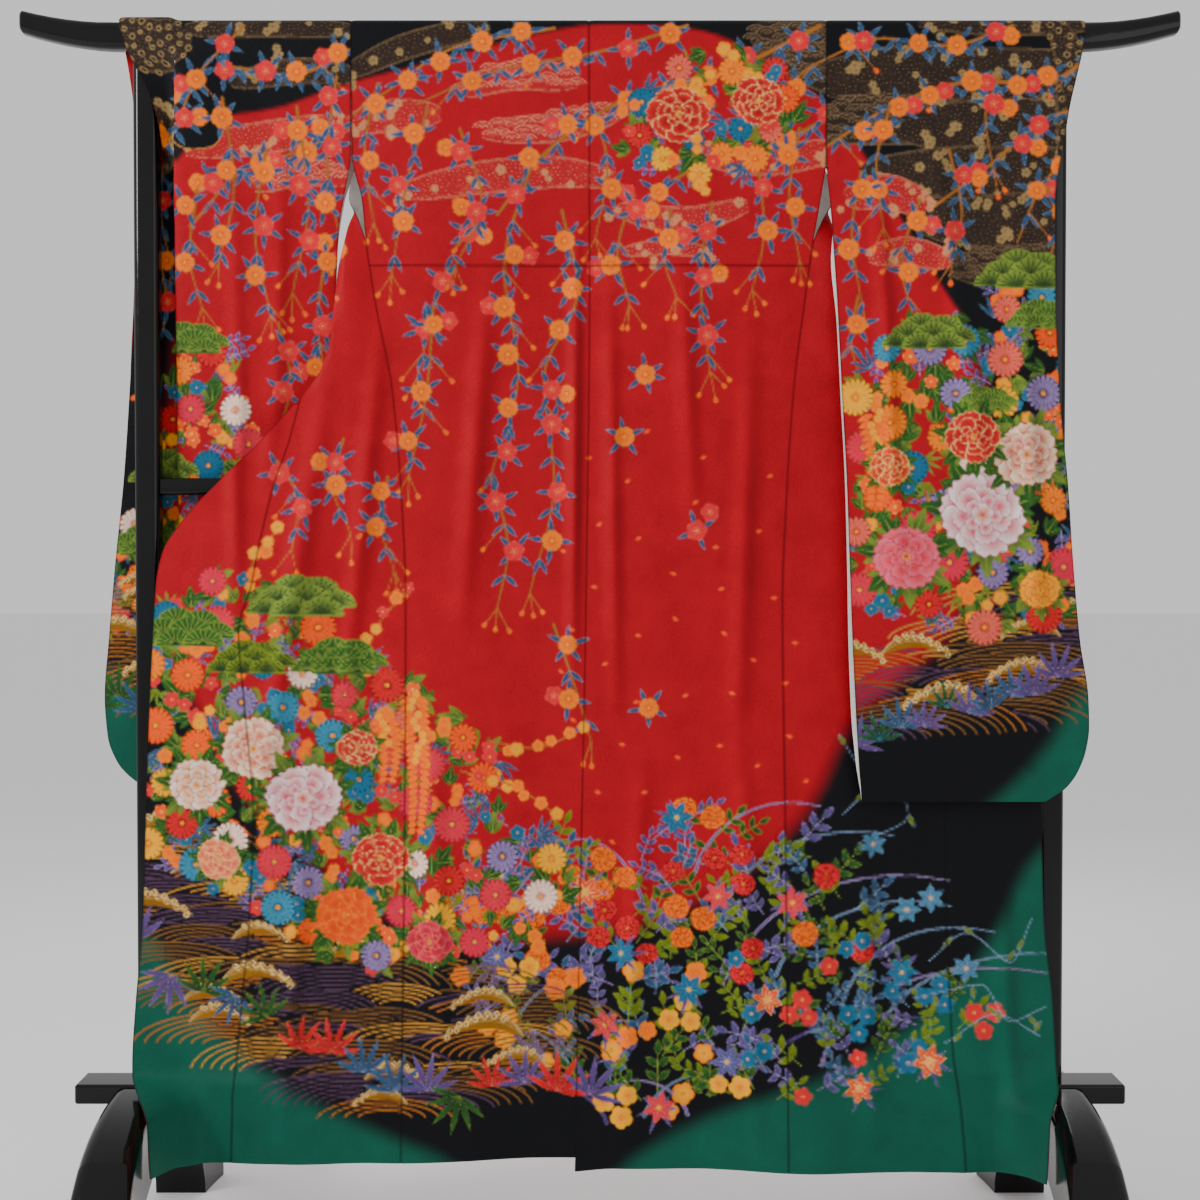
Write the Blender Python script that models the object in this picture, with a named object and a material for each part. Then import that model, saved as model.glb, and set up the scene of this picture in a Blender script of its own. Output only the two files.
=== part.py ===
"""Furisode (long-sleeved kimono) hung over a lacquered wooden kimono stand.

The garment's back faces the viewer, its fronts are spread to both sides, and both sleeves hang
from the rail. The viewer stands at -Y, +X is to the viewer's right, +Z is up, and the origin
is on the floor under the middle of the stand. Tables and sizes are in millimetres, and MM
turns them into metres when a mesh is made.
"""
import math
from collections import namedtuple

import bpy
import bmesh
import numpy as np

MM = 0.001

# Driving sizes of the stand
RAIL_BOTTOM = 1638.0
RAIL_TOP = 1675.0
RAIL_HALF_DEPTH = 17.0
RAIL_CORNER = 10.0
RAIL_HALF_LENGTH = 786.0
RAIL_RISE = 19.5
RAIL_RISE_START = 660.0
RAIL_TIP_HEIGHT = 30.0
POST_X = 617.0
POST_WIDTH = 34.0
POST_CORNER = 9.0
BAR_BOTTOM = 1034.0
BAR_TOP = 1057.0
BAR_HALF_DEPTH = 10.0
BAR_CORNER = 5.0
BOARD_BOTTOM = 204.0
BOARD_TOP = 231.0
BOARD_HALF_DEPTH = 33.0
BOARD_HALF_LENGTH = 715.0
BOARD_CORNER = 4.0
FOOT_OUTER_X = 663.0
FOOT_WIDTH_CROWN = 68.0
FOOT_WIDTH_TOE = 84.0
FOOT_HALF_LENGTH = 300.0
FOOT_HEIGHT = 228.0
FOOT_SHAPE = 2.5
FOOT_SHOULDER = 18.0
FOOT_TOE_HEIGHT = 30.0
FOOT_STATIONS = (0, 50, 95, 135, 170, 198, 213, 215, 242, 266, 285, 296, 300)
ARCH_HEIGHT = 135.0
ARCH_HALF_LENGTH = 215.0
ARCH_SHAPE = 2.2
GAP = 0.3

# Driving sizes of the cloth
CLOTH = 2.0
HALF_SEAM = GAP / 2
CLOTH_FACE = GAP + CLOTH / 2
SHEET_PITCH = CLOTH + GAP
ARMHOLE_BOTTOM = 1490.0
SLIT_MIDDLE = 1432.0
OKUMI_TOP = 1165.0
BODY_FOLDS = 5
BODY_FOLD_DEPTH = 4.5
BODY_FOLD_TOP = 1150.0
BODY_FOLD_FULL = 400.0
FOLD_OVERLAP = 9.0
CREST_AHEAD = 14.0
CREST_FORWARD = 3.0
LEAN_START = 0.25
BODY_SHARES = np.linspace(0, 1, 9)
FRONT_SHARES = np.linspace(0, 1, 13)
OKUMI_SHARES = np.linspace(0, 1, 8)
SLEEVE_SHARES = np.linspace(0, 1, 9)
# The folded sleeve's columns stand closer together round the fold
FOLDED_SHARES = np.array([0, 0.6, 1.2, 1.7, 2, 2.5, 3, 3.35, 3.7, 4, 4.35, 4.7, 5, 5.5, 6]) / 6
# Rows on the rail, as distances down the cloth from the rail's top middle, in step with its corner
WRAP = (HALF_SEAM, 7.0, 12.9, 18.8)
HANG_TOP = RAIL_TOP - RAIL_CORNER
# Below these heights the two layers of a sleeve lie together along the cuff edge
JOINED_BELOW_RIGHT = 1440.0
JOINED_BELOW_LEFT = 1200.0

LACQUER = (0.012, 0.011, 0.012, 1.0)
RED = (0.52, 0.012, 0.018, 1.0)
NAVY_BLACK = (0.014, 0.015, 0.028, 1.0)

# Seam lines of the body, height and x
Seam = namedtuple("Seam", "z x")
CENTRE_SEAM = [
    Seam(1677, -15), Seam(1340, -14), Seam(891, -19), Seam(483, -27), Seam(110, -34),
]
SIDE_LEFT = [
    Seam(1677, -337), Seam(1490, -335), Seam(1432, -322), Seam(1374, -316), Seam(1296, -304),
    Seam(1175, -281), Seam(1021, -268), Seam(891, -263), Seam(578, -265), Seam(110, -270),
]
SIDE_RIGHT = [
    Seam(1677, 306), Seam(1490, 306), Seam(1432, 298), Seam(1374, 288), Seam(1296, 277),
    Seam(1175, 262), Seam(1021, 252), Seam(891, 247), Seam(578, 251), Seam(110, 255),
]

# Depth of the body cloth where back and front meet at the side seam
Depth = namedtuple("Depth", "z y")
BODY_DEPTH = [
    Depth(1665, -18.3), Depth(1600, -19), Depth(1490, -20.5), Depth(1374, -24), Depth(1165, -27),
    Depth(900, -29), Depth(600, -31), Depth(400, -35), Depth(240, -40), Depth(110, -44),
]

# The fronts swing from behind the rail out to the sides in one soft turn. Each row is a section
# through the turn: b, c and d are points between the side seam and the front edge, given from
# the side seam outward (out) and in depth (y).
Turn = namedtuple("Turn", "z side_out side_y b_out b_y c_out c_y d_out d_y edge_out edge_y")
FRONT_TURN = [
    Turn(1665, 0, 18.3, -62, 18.3, -123, 18.3, -184, 18.3, -243, 18.3),
    Turn(1577, 0, 19, -53, 21, -106, 22, -159, 22, -206, 21),
    Turn(1490, 0, 18, -34, 22, -74, 32, -116, 33, -155, 26),
    Turn(1467, 10, 14, -16, 24, -52, 31, -92, 31, -130, 27),
    Turn(1438, 20, 7, 4, 18, -30, 26, -67, 28, -106, 27),
    Turn(1410, 10, -11, 19, 0, -1, 20, -43, 27, -88, 27),
    Turn(1392, 4, -19, 25, -15, 16, 6, -24, 25, -72, 27),
    Turn(1374, 0, -24, 28, -27, 31, -8, -6, 22, -57, 26),
    Turn(1297, 0, -25, 40, -32, 54, -27, 38, 5, 1, 20),
    Turn(1235, 0, -26, 45, -32, 72, -33, 73, -20, 57, -6),
    Turn(1210, 0, -26.5, 44, -31, 77, -33, 88, -31, 84, -23),
    Turn(1200, 0, -26.7, 42, -31, 76, -33, 91, -32, 94, -26.5),
    Turn(1188, 0, -26.8, 39, -31, 72, -32, 93, -32, 104, -29),
    Turn(1165, 0, -27, 32, -30, 63, -31, 94, -31, 125, -31),
]

# Below the turn: okumi seam and outer edge, x given outward from the middle of the stand
Lap = namedtuple("Lap", "z seam_x edge_x edge_y")
LAP_LEFT = [
    Lap(1165, 404.5, 405.5, -31), Lap(1103, 421, 462, -31), Lap(1056, 438, 511, -31),
    Lap(1001, 453, 563, -31), Lap(956, 463, 592, -32), Lap(914, 471, 601, -32),
    Lap(847, 489, 605, -32), Lap(755, 482, 610, -32), Lap(600, 470, 616, -32),
    Lap(450, 476, 621, -34), Lap(345, 486, 630, -37), Lap(265, 493, 634, -41),
    Lap(246, 495, 633, -45), Lap(238, 495, 626, -62), Lap(229, 496, 614, -90),
    Lap(222, 497, 600, -122), Lap(215, 497, 593.5, -136), Lap(208, 497, 590.5, -141),
    Lap(165, 498, 588.5, -142), Lap(120, 499, 587, -134),
]
LAP_RIGHT = [
    Lap(1165, 373.5, 374.5, -31), Lap(1103, 400, 430, -31), Lap(1056, 420, 478, -31),
    Lap(1001, 438, 530, -31), Lap(956, 450, 560, -32), Lap(914, 458, 575, -32),
    Lap(847, 465, 584, -32), Lap(755, 468, 592, -32), Lap(600, 468, 599, -32),
    Lap(450, 470, 603, -34), Lap(345, 475, 614, -37), Lap(269, 479, 617, -43),
    Lap(250, 481, 616, -56), Lap(238, 483, 612, -82), Lap(229, 484, 605, -100),
    Lap(222, 485, 598, -113), Lap(215, 486, 593.5, -121), Lap(208, 487, 590.5, -125),
    Lap(165, 491, 588.5, -126), Lap(110, 495, 587, -119),
]

# Hem heights along x
Hem = namedtuple("Hem", "x z")
HEM_OKUMI_LEFT = [Hem(-588, 136), Hem(-545, 131), Hem(-497, 131)]
HEM_FRONT_LEFT = [Hem(-497, 131), Hem(-268, 127)]
HEM_BACK_LEFT = [Hem(-268, 127), Hem(-133, 133), Hem(-30, 135)]
HEM_BACK_RIGHT = [Hem(-41, 115), Hem(19, 121), Hem(255, 115)]
HEM_FRONT_RIGHT = [Hem(255, 115), Hem(495, 118)]
HEM_OKUMI_RIGHT = [Hem(495, 118), Hem(587, 124)]

# Right sleeve, near layer: inner edge, middle and cuff edge of each section
Sleeve = namedtuple("Sleeve", "z inner_x inner_y mid_y cuff_x cuff_y")
SLEEVE_RIGHT_NEAR = [
    Sleeve(1665, 306.15, -18.3, -18.3, 656, -18.3), Sleeve(1634, 306.15, -19, -19.5, 652, -20),
    Sleeve(1596, 306.15, -20, -21.5, 643, -23), Sleeve(1559, 306.15, -21, -24, 634, -26),
    Sleeve(1520, 306.15, -22, -28, 627, -29), Sleeve(1490, 306.15, -23, -32, 621, -32),
    Sleeve(1455, 307.5, -28, -38, 614, -37), Sleeve(1426, 310, -34, -43, 611, -41),
    Sleeve(1360, 314, -43, -50, 610, -47), Sleeve(1293, 318, -50, -55, 610, -51),
    Sleeve(1159, 325, -54, -59, 616, -53), Sleeve(1052, 331, -55, -61, 627, -53),
    Sleeve(945, 335, -55, -62, 635, -53), Sleeve(838, 339, -55, -61, 645, -53),
    Sleeve(757, 343, -55, -59, 657, -53), Sleeve(720, 345, -54.5, -57, 658, -53),
    Sleeve(690, 347, -54, -55.5, 654, -53), Sleeve(660, 349, -53.5, -54, 643, -53),
    Sleeve(638, 351, -53, -53, 627, -53), Sleeve(620, 352, -53, -53, 600, -53),
]
# Far layer: from the rail's far side it comes forward between the body and the near layer
SLEEVE_RIGHT_FAR = [
    Sleeve(1665, 306.15, 18.3, 18.3, 660, 18.3), Sleeve(1577, 306.15, 19, 20, 625, 20),
    Sleeve(1525, 306.15, 19, 20, 592, 19), Sleeve(1500, 306.15, 18.2, 11, 592, 4),
    Sleeve(1490, 306.15, 18, 4, 593, -4), Sleeve(1465, 321, 6, -12, 598, -24),
    Sleeve(1441, 319, -6, -27, 608, -34), Sleeve(1417, 315, -15, -36, 610, -41),
    Sleeve(1398, 315, -25, -39, 610, -43), Sleeve(1349, 311, -36, -42, 610, -46),
    Sleeve(1268, 318, -42, -43, 611, -49), Sleeve(1159, 324, -43, -43, 616, -50.7),
    Sleeve(1052, 330, -43, -43, 627, -50.7), Sleeve(945, 333, -43, -43, 635, -50.7),
    Sleeve(838, 335, -43, -43, 645, -50.7), Sleeve(757, 338, -43, -44, 657, -50.7),
    Sleeve(720, 340, -44, -46, 658, -50.7), Sleeve(690, 343, -46, -48, 654, -50.7),
    Sleeve(660, 346, -49, -49.7, 643, -50.7), Sleeve(638, 350, -50.7, -50.7, 627, -50.7),
    Sleeve(620, 352, -50.7, -50.7, 600, -50.7),
]
# Left sleeve, near layer: a standing fold lies from the rail down beside the post. The fold's
# front is the lip, tuck is the turn under it, and back is where the cloth goes on to the cuff.
Folded = namedtuple(
    "Folded", "z inner_x inner_y half_x half_y lip_x lip_y tuck_x tuck_y back_x back_y cuff_x cuff_y")
SLEEVE_LEFT_NEAR = [
    Folded(1665, -337.15, -18.3, -455, -18.3, -560, -18.3, -590, -18.3, -622, -18.3, -650, -18.3),
    Folded(1634, -337.15, -19, -450, -19.5, -570, -21.5, -579, -20.5, -602, -19.3, -639, -20),
    Folded(1618, -337.15, -19, -450, -20, -573, -25, -571, -20.5, -592, -18.8, -631, -21),
    Folded(1600, -337.15, -19.5, -450, -20, -574, -28, -566, -22, -587, -17, -621, -22),
    Folded(1566, -337.15, -20, -450, -21, -574, -27, -565, -20, -585, -13, -606, -21.5),
    Folded(1526, -337.15, -20, -450, -21, -575, -25, -565, -18, -583, -10, -595, -20.5),
    Folded(1510, -337.15, -20, -450, -20, -576, -24, -565, -17, -584, -8, -594.5, -12),
    Folded(1500, -337.15, -19.5, -450, -19, -576, -22.5, -565, -15.5, -585, -5, -595.5, 2),
    Folded(1490, -337.15, -19, -450, -18, -576, -21, -565, -14, -586, 0, -597, 12),
    Folded(1480, -339, -17, -450, -17, -577, -19, -566, -12, -588, 7, -605, 22),
    Folded(1441, -347.5, -9, -455, -11, -579, -11, -567, -4, -594, 19, -633, 24),
    Folded(1400, -356, 0, -460, -6, -580, -2, -567, 4.5, -595, 20, -640, 26),
    Folded(1300, -362, 6, -465, 1, -581, 5, -567, 11.5, -597, 22, -643, 28),
    Folded(1165, -364, 10, -465, 8, -581, 12, -569, 18.5, -600, 25.5, -651, 29),
    Folded(1056, -366, 14, -465, 13, -581, 14, -571, 20.5, -603, 26.5, -659, 29),
    Folded(945, -367, 17, -465, 17, -578, 17, -576, 22.5, -610, 27.5, -671, 29),
    Folded(834, -368, 20, -465, 20, -572, 20, -588, 25, -625, 28, -681, 29),
    Folded(755, -368, 22, -465, 22, -560, 25, -598, 27, -640, 28.5, -687, 29),
    Folded(700, -368, 24, -465, 25, -560, 27, -596, 28, -636, 29, -683, 29),
    Folded(665, -369, 26, -465, 27, -555, 28, -590, 29, -628, 29, -670, 29),
    Folded(640, -370, 28, -465, 29, -550, 29, -580, 29, -612, 29, -647, 29),
    Folded(622, -371, 29, -465, 29, -540, 29, -565, 29, -590, 29, -612, 29),
]
SLEEVE_LEFT_FAR = [
    Sleeve(1665, -337.15, 18.3, 18.3, -655, 18.3), Sleeve(1605, -337.15, 20, 24, -645, 22),
    Sleeve(1565, -337.15, 21, 28, -641, 25), Sleeve(1490, -337.15, 22, 34, -640, 31),
    Sleeve(1438, -352, 26, 38, -641, 35), Sleeve(1376, -362, 31, 41, -643, 36),
    Sleeve(1305, -365, 35, 42, -645, 35), Sleeve(1240, -366, 37, 43, -648, 33),
    Sleeve(1165, -367, 38, 44, -651, 31.3), Sleeve(1056, -368, 38, 44, -659, 31.3),
    Sleeve(945, -369, 38, 44, -671, 31.3), Sleeve(834, -370, 38, 43, -681, 31.3),
    Sleeve(755, -371, 38, 41, -687, 31.3), Sleeve(700, -371, 36, 38, -683, 31.3),
    Sleeve(665, -371, 34, 34, -670, 31.3), Sleeve(640, -371, 31.3, 31.3, -647, 31.3),
    Sleeve(622, -371, 31.3, 31.3, -612, 31.3),
]
CUFF_PUFF_LEFT = 4.5
CUFF_PUFF_X = (-570.0, -586.0)

# Collar band: tip is where the band's outer edge lies, from the front edge it is sewn to.
# Root offsets keep it clear of the front it turns behind.
Band = namedtuple("Band", "z root_out root_y tip_out tip_y tip_z")
COLLAR_BAND = [
    Band(956, -1, 3.2, -38, 5, -38), Band(1056, -1, 3.2, -37, 5, -38),
    Band(1120, -1, 3.2, -37, 7, -36), Band(1155, -1, 3.6, -39, 12, -32),
    Band(1191, -1.5, 4.5, -43, 22, -20), Band(1228, -3, 3.5, -46, 33, -10),
    Band(1264, -3, 2, -52, 22, -4), Band(1301, -2, 0.8, -55, 6, 0),
    Band(1374, -0.8, 0, -55, 0, 0), Band(1490, -0.8, 0, -55, 0, 0),
    Band(1607, -0.8, 0, -55, 0, -4), Band(1665, -0.8, 0, -44, 1, -43),
]
COLLAR_END = 950.0
COLLAR_SHARES = (0, 0.115, 0.213, 0.312, 0.41, 0.7, 1)
# Round the neck the band lies over the rail: distance down the cloth from the rail's top
# middle, for the sewn edge (root) and the outer edge (tip), with their x from the neck's middle
Neck = namedtuple("Neck", "root_x root_down tip_x tip_down")
COLLAR_NECK = [
    Neck(77.5, 19.4, 29, 62.8), Neck(77.5, 13.2, 27, 60), Neck(77.5, 7, 25.5, 57),
    Neck(77, 0.3, 23.5, 55), Neck(50, 0.3, 15.5, 53), Neck(25, 0.3, 7.5, 52), Neck(0, 0.3, 0, 52),
]
NECK_LIFT = 0.5
NECK_MIDDLE_X = -15.5


def column(rows, field, scale=1.0):
    """One column of a table as two arrays, height (rising) and value."""
    ordered = sorted(rows, key=lambda row: row[0])
    keys = np.array([row[0] for row in ordered], float)
    values = np.array([getattr(row, field) for row in ordered], float) * scale
    return keys, values


def slopes(keys, values):
    """Slopes of a smooth curve that never overshoots its points."""
    steps = np.diff(keys)
    rates = np.diff(values, axis=0) / steps.reshape((-1,) + (1,) * (values.ndim - 1))
    result = np.zeros_like(values)
    before, after = rates[:-1], rates[1:]
    same = before * after > 0
    total = np.where(same, before + after, 1.0)
    result[1:-1] = np.where(same, 2 * before * after / total, 0.0)
    result[0], result[-1] = rates[0], rates[-1]
    return result


def smooth(keys, values, at):
    """Values of the smooth curve through the points, at the given places."""
    at = np.clip(np.asarray(at, float), keys[0], keys[-1])
    spot = np.clip(np.searchsorted(keys, at, side="right") - 1, 0, len(keys) - 2)
    slope = slopes(keys, values)
    step = keys[spot + 1] - keys[spot]
    t = (at - keys[spot]) / step
    if values.ndim > 1:
        step = step[..., None]
        t = t[..., None]
    a, b = values[spot], values[spot + 1]
    return (a * (1 + 2 * t) * (1 - t) ** 2 + b * t * t * (3 - 2 * t)
            + slope[spot] * step * t * (1 - t) ** 2 - slope[spot + 1] * step * t * t * (1 - t))


def curve(rows, field, scale=1.0):
    """A table's column as a function of its first column."""
    keys, values = column(rows, field, scale)
    return lambda at: smooth(keys, values, at)


def across(points, shares):
    """Points on the smooth curve through a section's points, at shares of the way through them."""
    points = np.array(points, float)
    run = np.concatenate([[0], np.cumsum(np.linalg.norm(np.diff(points, axis=0), axis=1))])
    places = np.interp(np.asarray(shares) * (len(points) - 1), np.arange(len(points)), run)
    return smooth(run, points, places)


def body_fold(x, z):
    """Depth of the soft vertical folds that open towards the hem."""
    fade = np.clip((BODY_FOLD_TOP - z) / (BODY_FOLD_TOP - BODY_FOLD_FULL), 0, 1)
    wave = np.sin(2 * math.pi * BODY_FOLDS * (x + 600) / 1200 + 0.6)
    return BODY_FOLD_DEPTH * fade ** 1.3 * wave


def over_rail(down, side, lift=0.0):
    """Depth and height of cloth lying on the rail, at a distance from the rail's top middle."""
    radius = RAIL_CORNER + CLOTH_FACE + lift
    flat = RAIL_HALF_DEPTH - RAIL_CORNER
    top = RAIL_TOP + CLOTH_FACE + lift
    arc = radius * math.pi / 2
    if down <= flat:
        return side * down, top
    angle = min((down - flat) / radius, math.pi / 2)
    below = max(down - flat - arc, 0.0)
    return side * (flat + radius * math.sin(angle)), top - radius * (1 - math.cos(angle)) - below




def hung_rows(section, heights, bottom, shares, side, lift=None):
    """Rows of points of a panel: over the rail, then down through the heights to its bottom."""
    rows = []
    top = across(section(HANG_TOP), shares)
    for down in WRAP:
        y, z = over_rail(down, side)
        raised = lift(top[:, 0]) * (z - HANG_TOP) / (RAIL_CORNER + CLOTH_FACE) if lift else 0
        rows.append(np.stack([top[:, 0], np.full(len(top), y), np.full(len(top), z) + raised], 1))
    for height in heights:
        flat = across(section(height), shares)
        rows.append(np.column_stack([flat, np.full(len(flat), float(height))]))
    if bottom is not None:
        lows = [float(bottom(x)) for x in flat[:, 0]]
        ends = [across(section(low), [share])[0] for low, share in zip(lows, shares)]
        rows.append(np.column_stack([ends, lows]))
    return np.array(rows)


def material(name, colour, roughness, metallic=0.0):
    made = bpy.data.materials.new(name)
    made.use_nodes = True
    shader = made.node_tree.nodes["Principled BSDF"]
    shader.inputs["Base Color"].default_value = colour
    shader.inputs["Roughness"].default_value = roughness
    shader.inputs["Metallic"].default_value = metallic
    made.diffuse_color = colour
    return made


def add_object(name, vertices, faces, finish):
    """A closed mesh object from points in millimetres, with its faces turned outward."""
    mesh = bpy.data.meshes.new(name)
    mesh.from_pydata([tuple(v * MM for v in point) for point in vertices], [], faces)
    shape = bmesh.new()
    shape.from_mesh(mesh)
    bmesh.ops.recalc_face_normals(shape, faces=shape.faces)
    shape.to_mesh(mesh)
    shape.free()
    mesh.shade_smooth()
    mesh.set_sharp_from_angle(angle=math.radians(40))
    mesh.materials.append(finish)
    made = bpy.data.objects.new(name, mesh)
    bpy.context.scene.collection.objects.link(made)
    return made


def cloth_wall(name, rows, finish):
    """A wall of cloth: the surface through the rows, thickened to both sides and closed."""
    rows = np.asarray(rows, float)
    count, wide = rows.shape[:2]
    along = np.gradient(rows, axis=0)
    sideways = np.gradient(rows, axis=1)
    normal = np.cross(along, sideways)
    normal /= np.linalg.norm(normal, axis=2, keepdims=True)
    outer = (rows + normal * CLOTH / 2).reshape(-1, 3)
    inner = (rows - normal * CLOTH / 2).reshape(-1, 3)
    shift = count * wide
    faces = []
    flat = rows.reshape(-1, 3)
    for i in range(count - 1):
        for j in range(wide - 1):
            a = i * wide + j
            b, c, d = a + 1, a + wide + 1, a + wide
            if np.linalg.norm(flat[a] - flat[c]) <= np.linalg.norm(flat[b] - flat[d]):
                halves = ((a, b, c), (a, c, d))
            else:
                halves = ((a, b, d), (b, c, d))
            for half in halves:
                faces.append(half)
                faces.append(tuple(k + shift for k in reversed(half)))
    rim = list(range(wide))
    rim += [i * wide + wide - 1 for i in range(1, count)]
    rim += [(count - 1) * wide + j for j in range(wide - 2, -1, -1)]
    rim += [i * wide for i in range(count - 2, 0, -1)]
    for a, b in zip(rim, rim[1:] + rim[:1]):
        faces.append((b, a, a + shift, b + shift))
    return add_object(name, np.concatenate([outer, inner]), faces, finish)


def levels(*spans):
    """Heights going down, from spans of (top, bottom, count)."""
    result = []
    for top, bottom, count in spans:
        result += list(np.linspace(top, bottom, count, endpoint=False))
    return result + [spans[-1][1]]


# Heights of the rows of points; panels that are sewn together share theirs along the seam
LAP_SPANS = ((1155, 956, 4), (956, 755, 2), (755, 345, 4))
BODY_LEVELS = levels((HANG_TOP, ARMHOLE_BOTTOM, 3), (ARMHOLE_BOTTOM, 1374, 5), (1374, 1235, 4),
                     (1235, 1189, 5), (1189, 1155, 2), *LAP_SPANS, (345, 150, 3))
OKUMI_LEVELS = levels(*LAP_SPANS, (345, 250, 2), (250, 206, 6), (206, 150, 2))
RIGHT_SLEEVE_LEVELS = levels((HANG_TOP, 1490, 5), (1490, 1398, 5), (1398, 1268, 3), (1268, 757, 5),
                             (757, 660, 3), (660, 620, 3))
LEFT_SLEEVE_LEVELS = levels((HANG_TOP, 1600, 5), (1600, 1526, 2), (1526, 1480, 5), (1480, 1400, 3),
                            (1400, 1165, 3), (1165, 755, 6), (755, 665, 3), (665, 622, 3))


def back_section(side_x, side_gap, centre_gap):
    """Section of a back width, from its side seam to the centre seam."""
    centre_x = curve(CENTRE_SEAM, "x")
    depth = curve(BODY_DEPTH, "y")

    def section(z):
        outer = float(side_x(z)) + side_gap
        inner = float(centre_x(z)) + centre_gap
        xs = np.linspace(outer, inner, 9)
        return [(x, float(depth(z)) + float(body_fold(x, z))) for x in xs]
    return section


def front_section(side_x, lap, sign):
    """Section of a front width, from its side seam to its edge, on the left (-1) or right (+1)."""
    names = ("side", "b", "c", "d", "edge")
    outs = [curve(FRONT_TURN, name + "_out") for name in names]
    depths = [curve(FRONT_TURN, name + "_y") for name in names]
    body_depth = curve(BODY_DEPTH, "y")
    lap_seam = curve(lap, "seam_x", sign)
    lap_depth = curve(lap, "edge_y")

    def section(z):
        outward = 1 if z < SLIT_MIDDLE else -1
        side = float(side_x(z))
        start = side + sign * outward * HALF_SEAM
        if z >= OKUMI_TOP:
            points = [(side + sign * float(out(z)), float(depth(z)))
                      for out, depth in zip(outs, depths)]
            points[0] = (points[0][0] + start - side, points[0][1])
            return points
        edge = float(lap_seam(z))
        shares = np.linspace(0, 1, 7)
        xs = start + (edge - sign * HALF_SEAM - start) * shares
        near, far = float(body_depth(z)), lap_seam_depth(z, body_depth, lap_depth)
        return [(x, near + (far - near) * min(1.0, 2 * share) + float(body_fold(x, z)))
                for x, share in zip(xs, shares)]
    return section


def lap_seam_depth(z, body_depth, lap_depth):
    """Depth of the okumi seam: the edge's depth, but never further forward than 10 mm."""
    base = float(body_depth(z))
    return base + max(-10.0, min(0.0, float(lap_depth(z)) - base))


def okumi_section(lap, sign):
    """Section of an okumi, from its seam with the front to the free edge."""
    body_depth = curve(BODY_DEPTH, "y")
    seam_x = curve(lap, "seam_x", sign)
    edge_x = curve(lap, "edge_x", sign)
    edge_y = curve(lap, "edge_y")

    def section(z):
        start, end = float(seam_x(z)) + sign * HALF_SEAM, float(edge_x(z))
        near, far = lap_seam_depth(z, body_depth, edge_y), float(edge_y(z))
        points = []
        for share in np.linspace(0, 1, 6):
            x = start + (end - start) * share
            fold = float(body_fold(x, z)) * (1 - share)
            lean = max(0.0, share - LEAN_START) / (1 - LEAN_START)
            points.append((x, near + (far - near) * lean ** 2 + fold))
        return points
    return section


def sleeve_section(rows, near=None, joined_below=None):
    """Section of a plain sleeve layer from its inner edge to its cuff edge."""
    inner_x, inner_y = curve(rows, "inner_x"), curve(rows, "inner_y")
    mid_y = curve(rows, "mid_y")
    cuff_x, cuff_y = curve(rows, "cuff_x"), curve(rows, "cuff_y")

    def section(z):
        xa, ya = float(inner_x(z)), float(inner_y(z))
        xb, yb = float(cuff_x(z)), float(cuff_y(z))
        middle = float(mid_y(z))
        if near is not None and z < joined_below:
            xb, yb = near(z)[-1][0], near(z)[-1][1] + SHEET_PITCH
        return [(xa, ya), (xa + 0.25 * (xb - xa), (ya + middle) / 2 + 0.25 * (middle - ya)),
                (xa + 0.5 * (xb - xa), middle),
                (xa + 0.75 * (xb - xa), (yb + middle) / 2 + 0.25 * (middle - yb)), (xb, yb)]
    return section


def folded_section(rows):
    """Section of the left near sleeve layer through its standing fold."""
    names = ("inner", "half", "lip", "tuck", "back", "cuff")
    xs = [curve(rows, name + "_x") for name in names]
    ys = [curve(rows, name + "_y") for name in names]

    def section(z):
        points = [(float(x(z)), float(y(z))) for x, y in zip(xs, ys)]
        lip, tuck = points[2], points[3]
        strength = min(max((tuck[0] - lip[0]) / FOLD_OVERLAP, 0.0), 1.0)
        crest = (lip[0] + CREST_AHEAD, lip[1] - CREST_FORWARD * strength)
        return points[:2] + [crest] + points[2:]
    return section


def make_body(red, navy):
    side_left, side_right = curve(SIDE_LEFT, "x"), curve(SIDE_RIGHT, "x")
    for name, section, hem in (
            ("back_left", back_section(side_left, HALF_SEAM, -HALF_SEAM), HEM_BACK_LEFT),
            ("back_right", back_section(side_right, -HALF_SEAM, HALF_SEAM), HEM_BACK_RIGHT)):
        rows = hung_rows(section, BODY_LEVELS, curve(hem, "z"), BODY_SHARES, -1)
        cloth_wall(name, rows, red)
    for name, section, hem in (
            ("front_left", front_section(side_left, LAP_LEFT, -1), HEM_FRONT_LEFT),
            ("front_right", front_section(side_right, LAP_RIGHT, 1), HEM_FRONT_RIGHT)):
        rows = hung_rows(section, BODY_LEVELS, curve(hem, "z"), FRONT_SHARES, 1)
        cloth_wall(name, rows, red)
    for name, section, hem in (
            ("okumi_left", okumi_section(LAP_LEFT, -1), HEM_OKUMI_LEFT),
            ("okumi_right", okumi_section(LAP_RIGHT, 1), HEM_OKUMI_RIGHT)):
        rows = hung_rows(section, OKUMI_LEVELS, curve(hem, "z"), OKUMI_SHARES, 1)
        cloth_wall(name, rows[len(WRAP):], navy)


def cuff_puff(x):
    """Height by which the left sleeve's cuff stands off the rail."""
    start, end = CUFF_PUFF_X
    t = np.clip((x - start) / (end - start), 0, 1)
    return CUFF_PUFF_LEFT * t * t * (3 - 2 * t)


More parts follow.
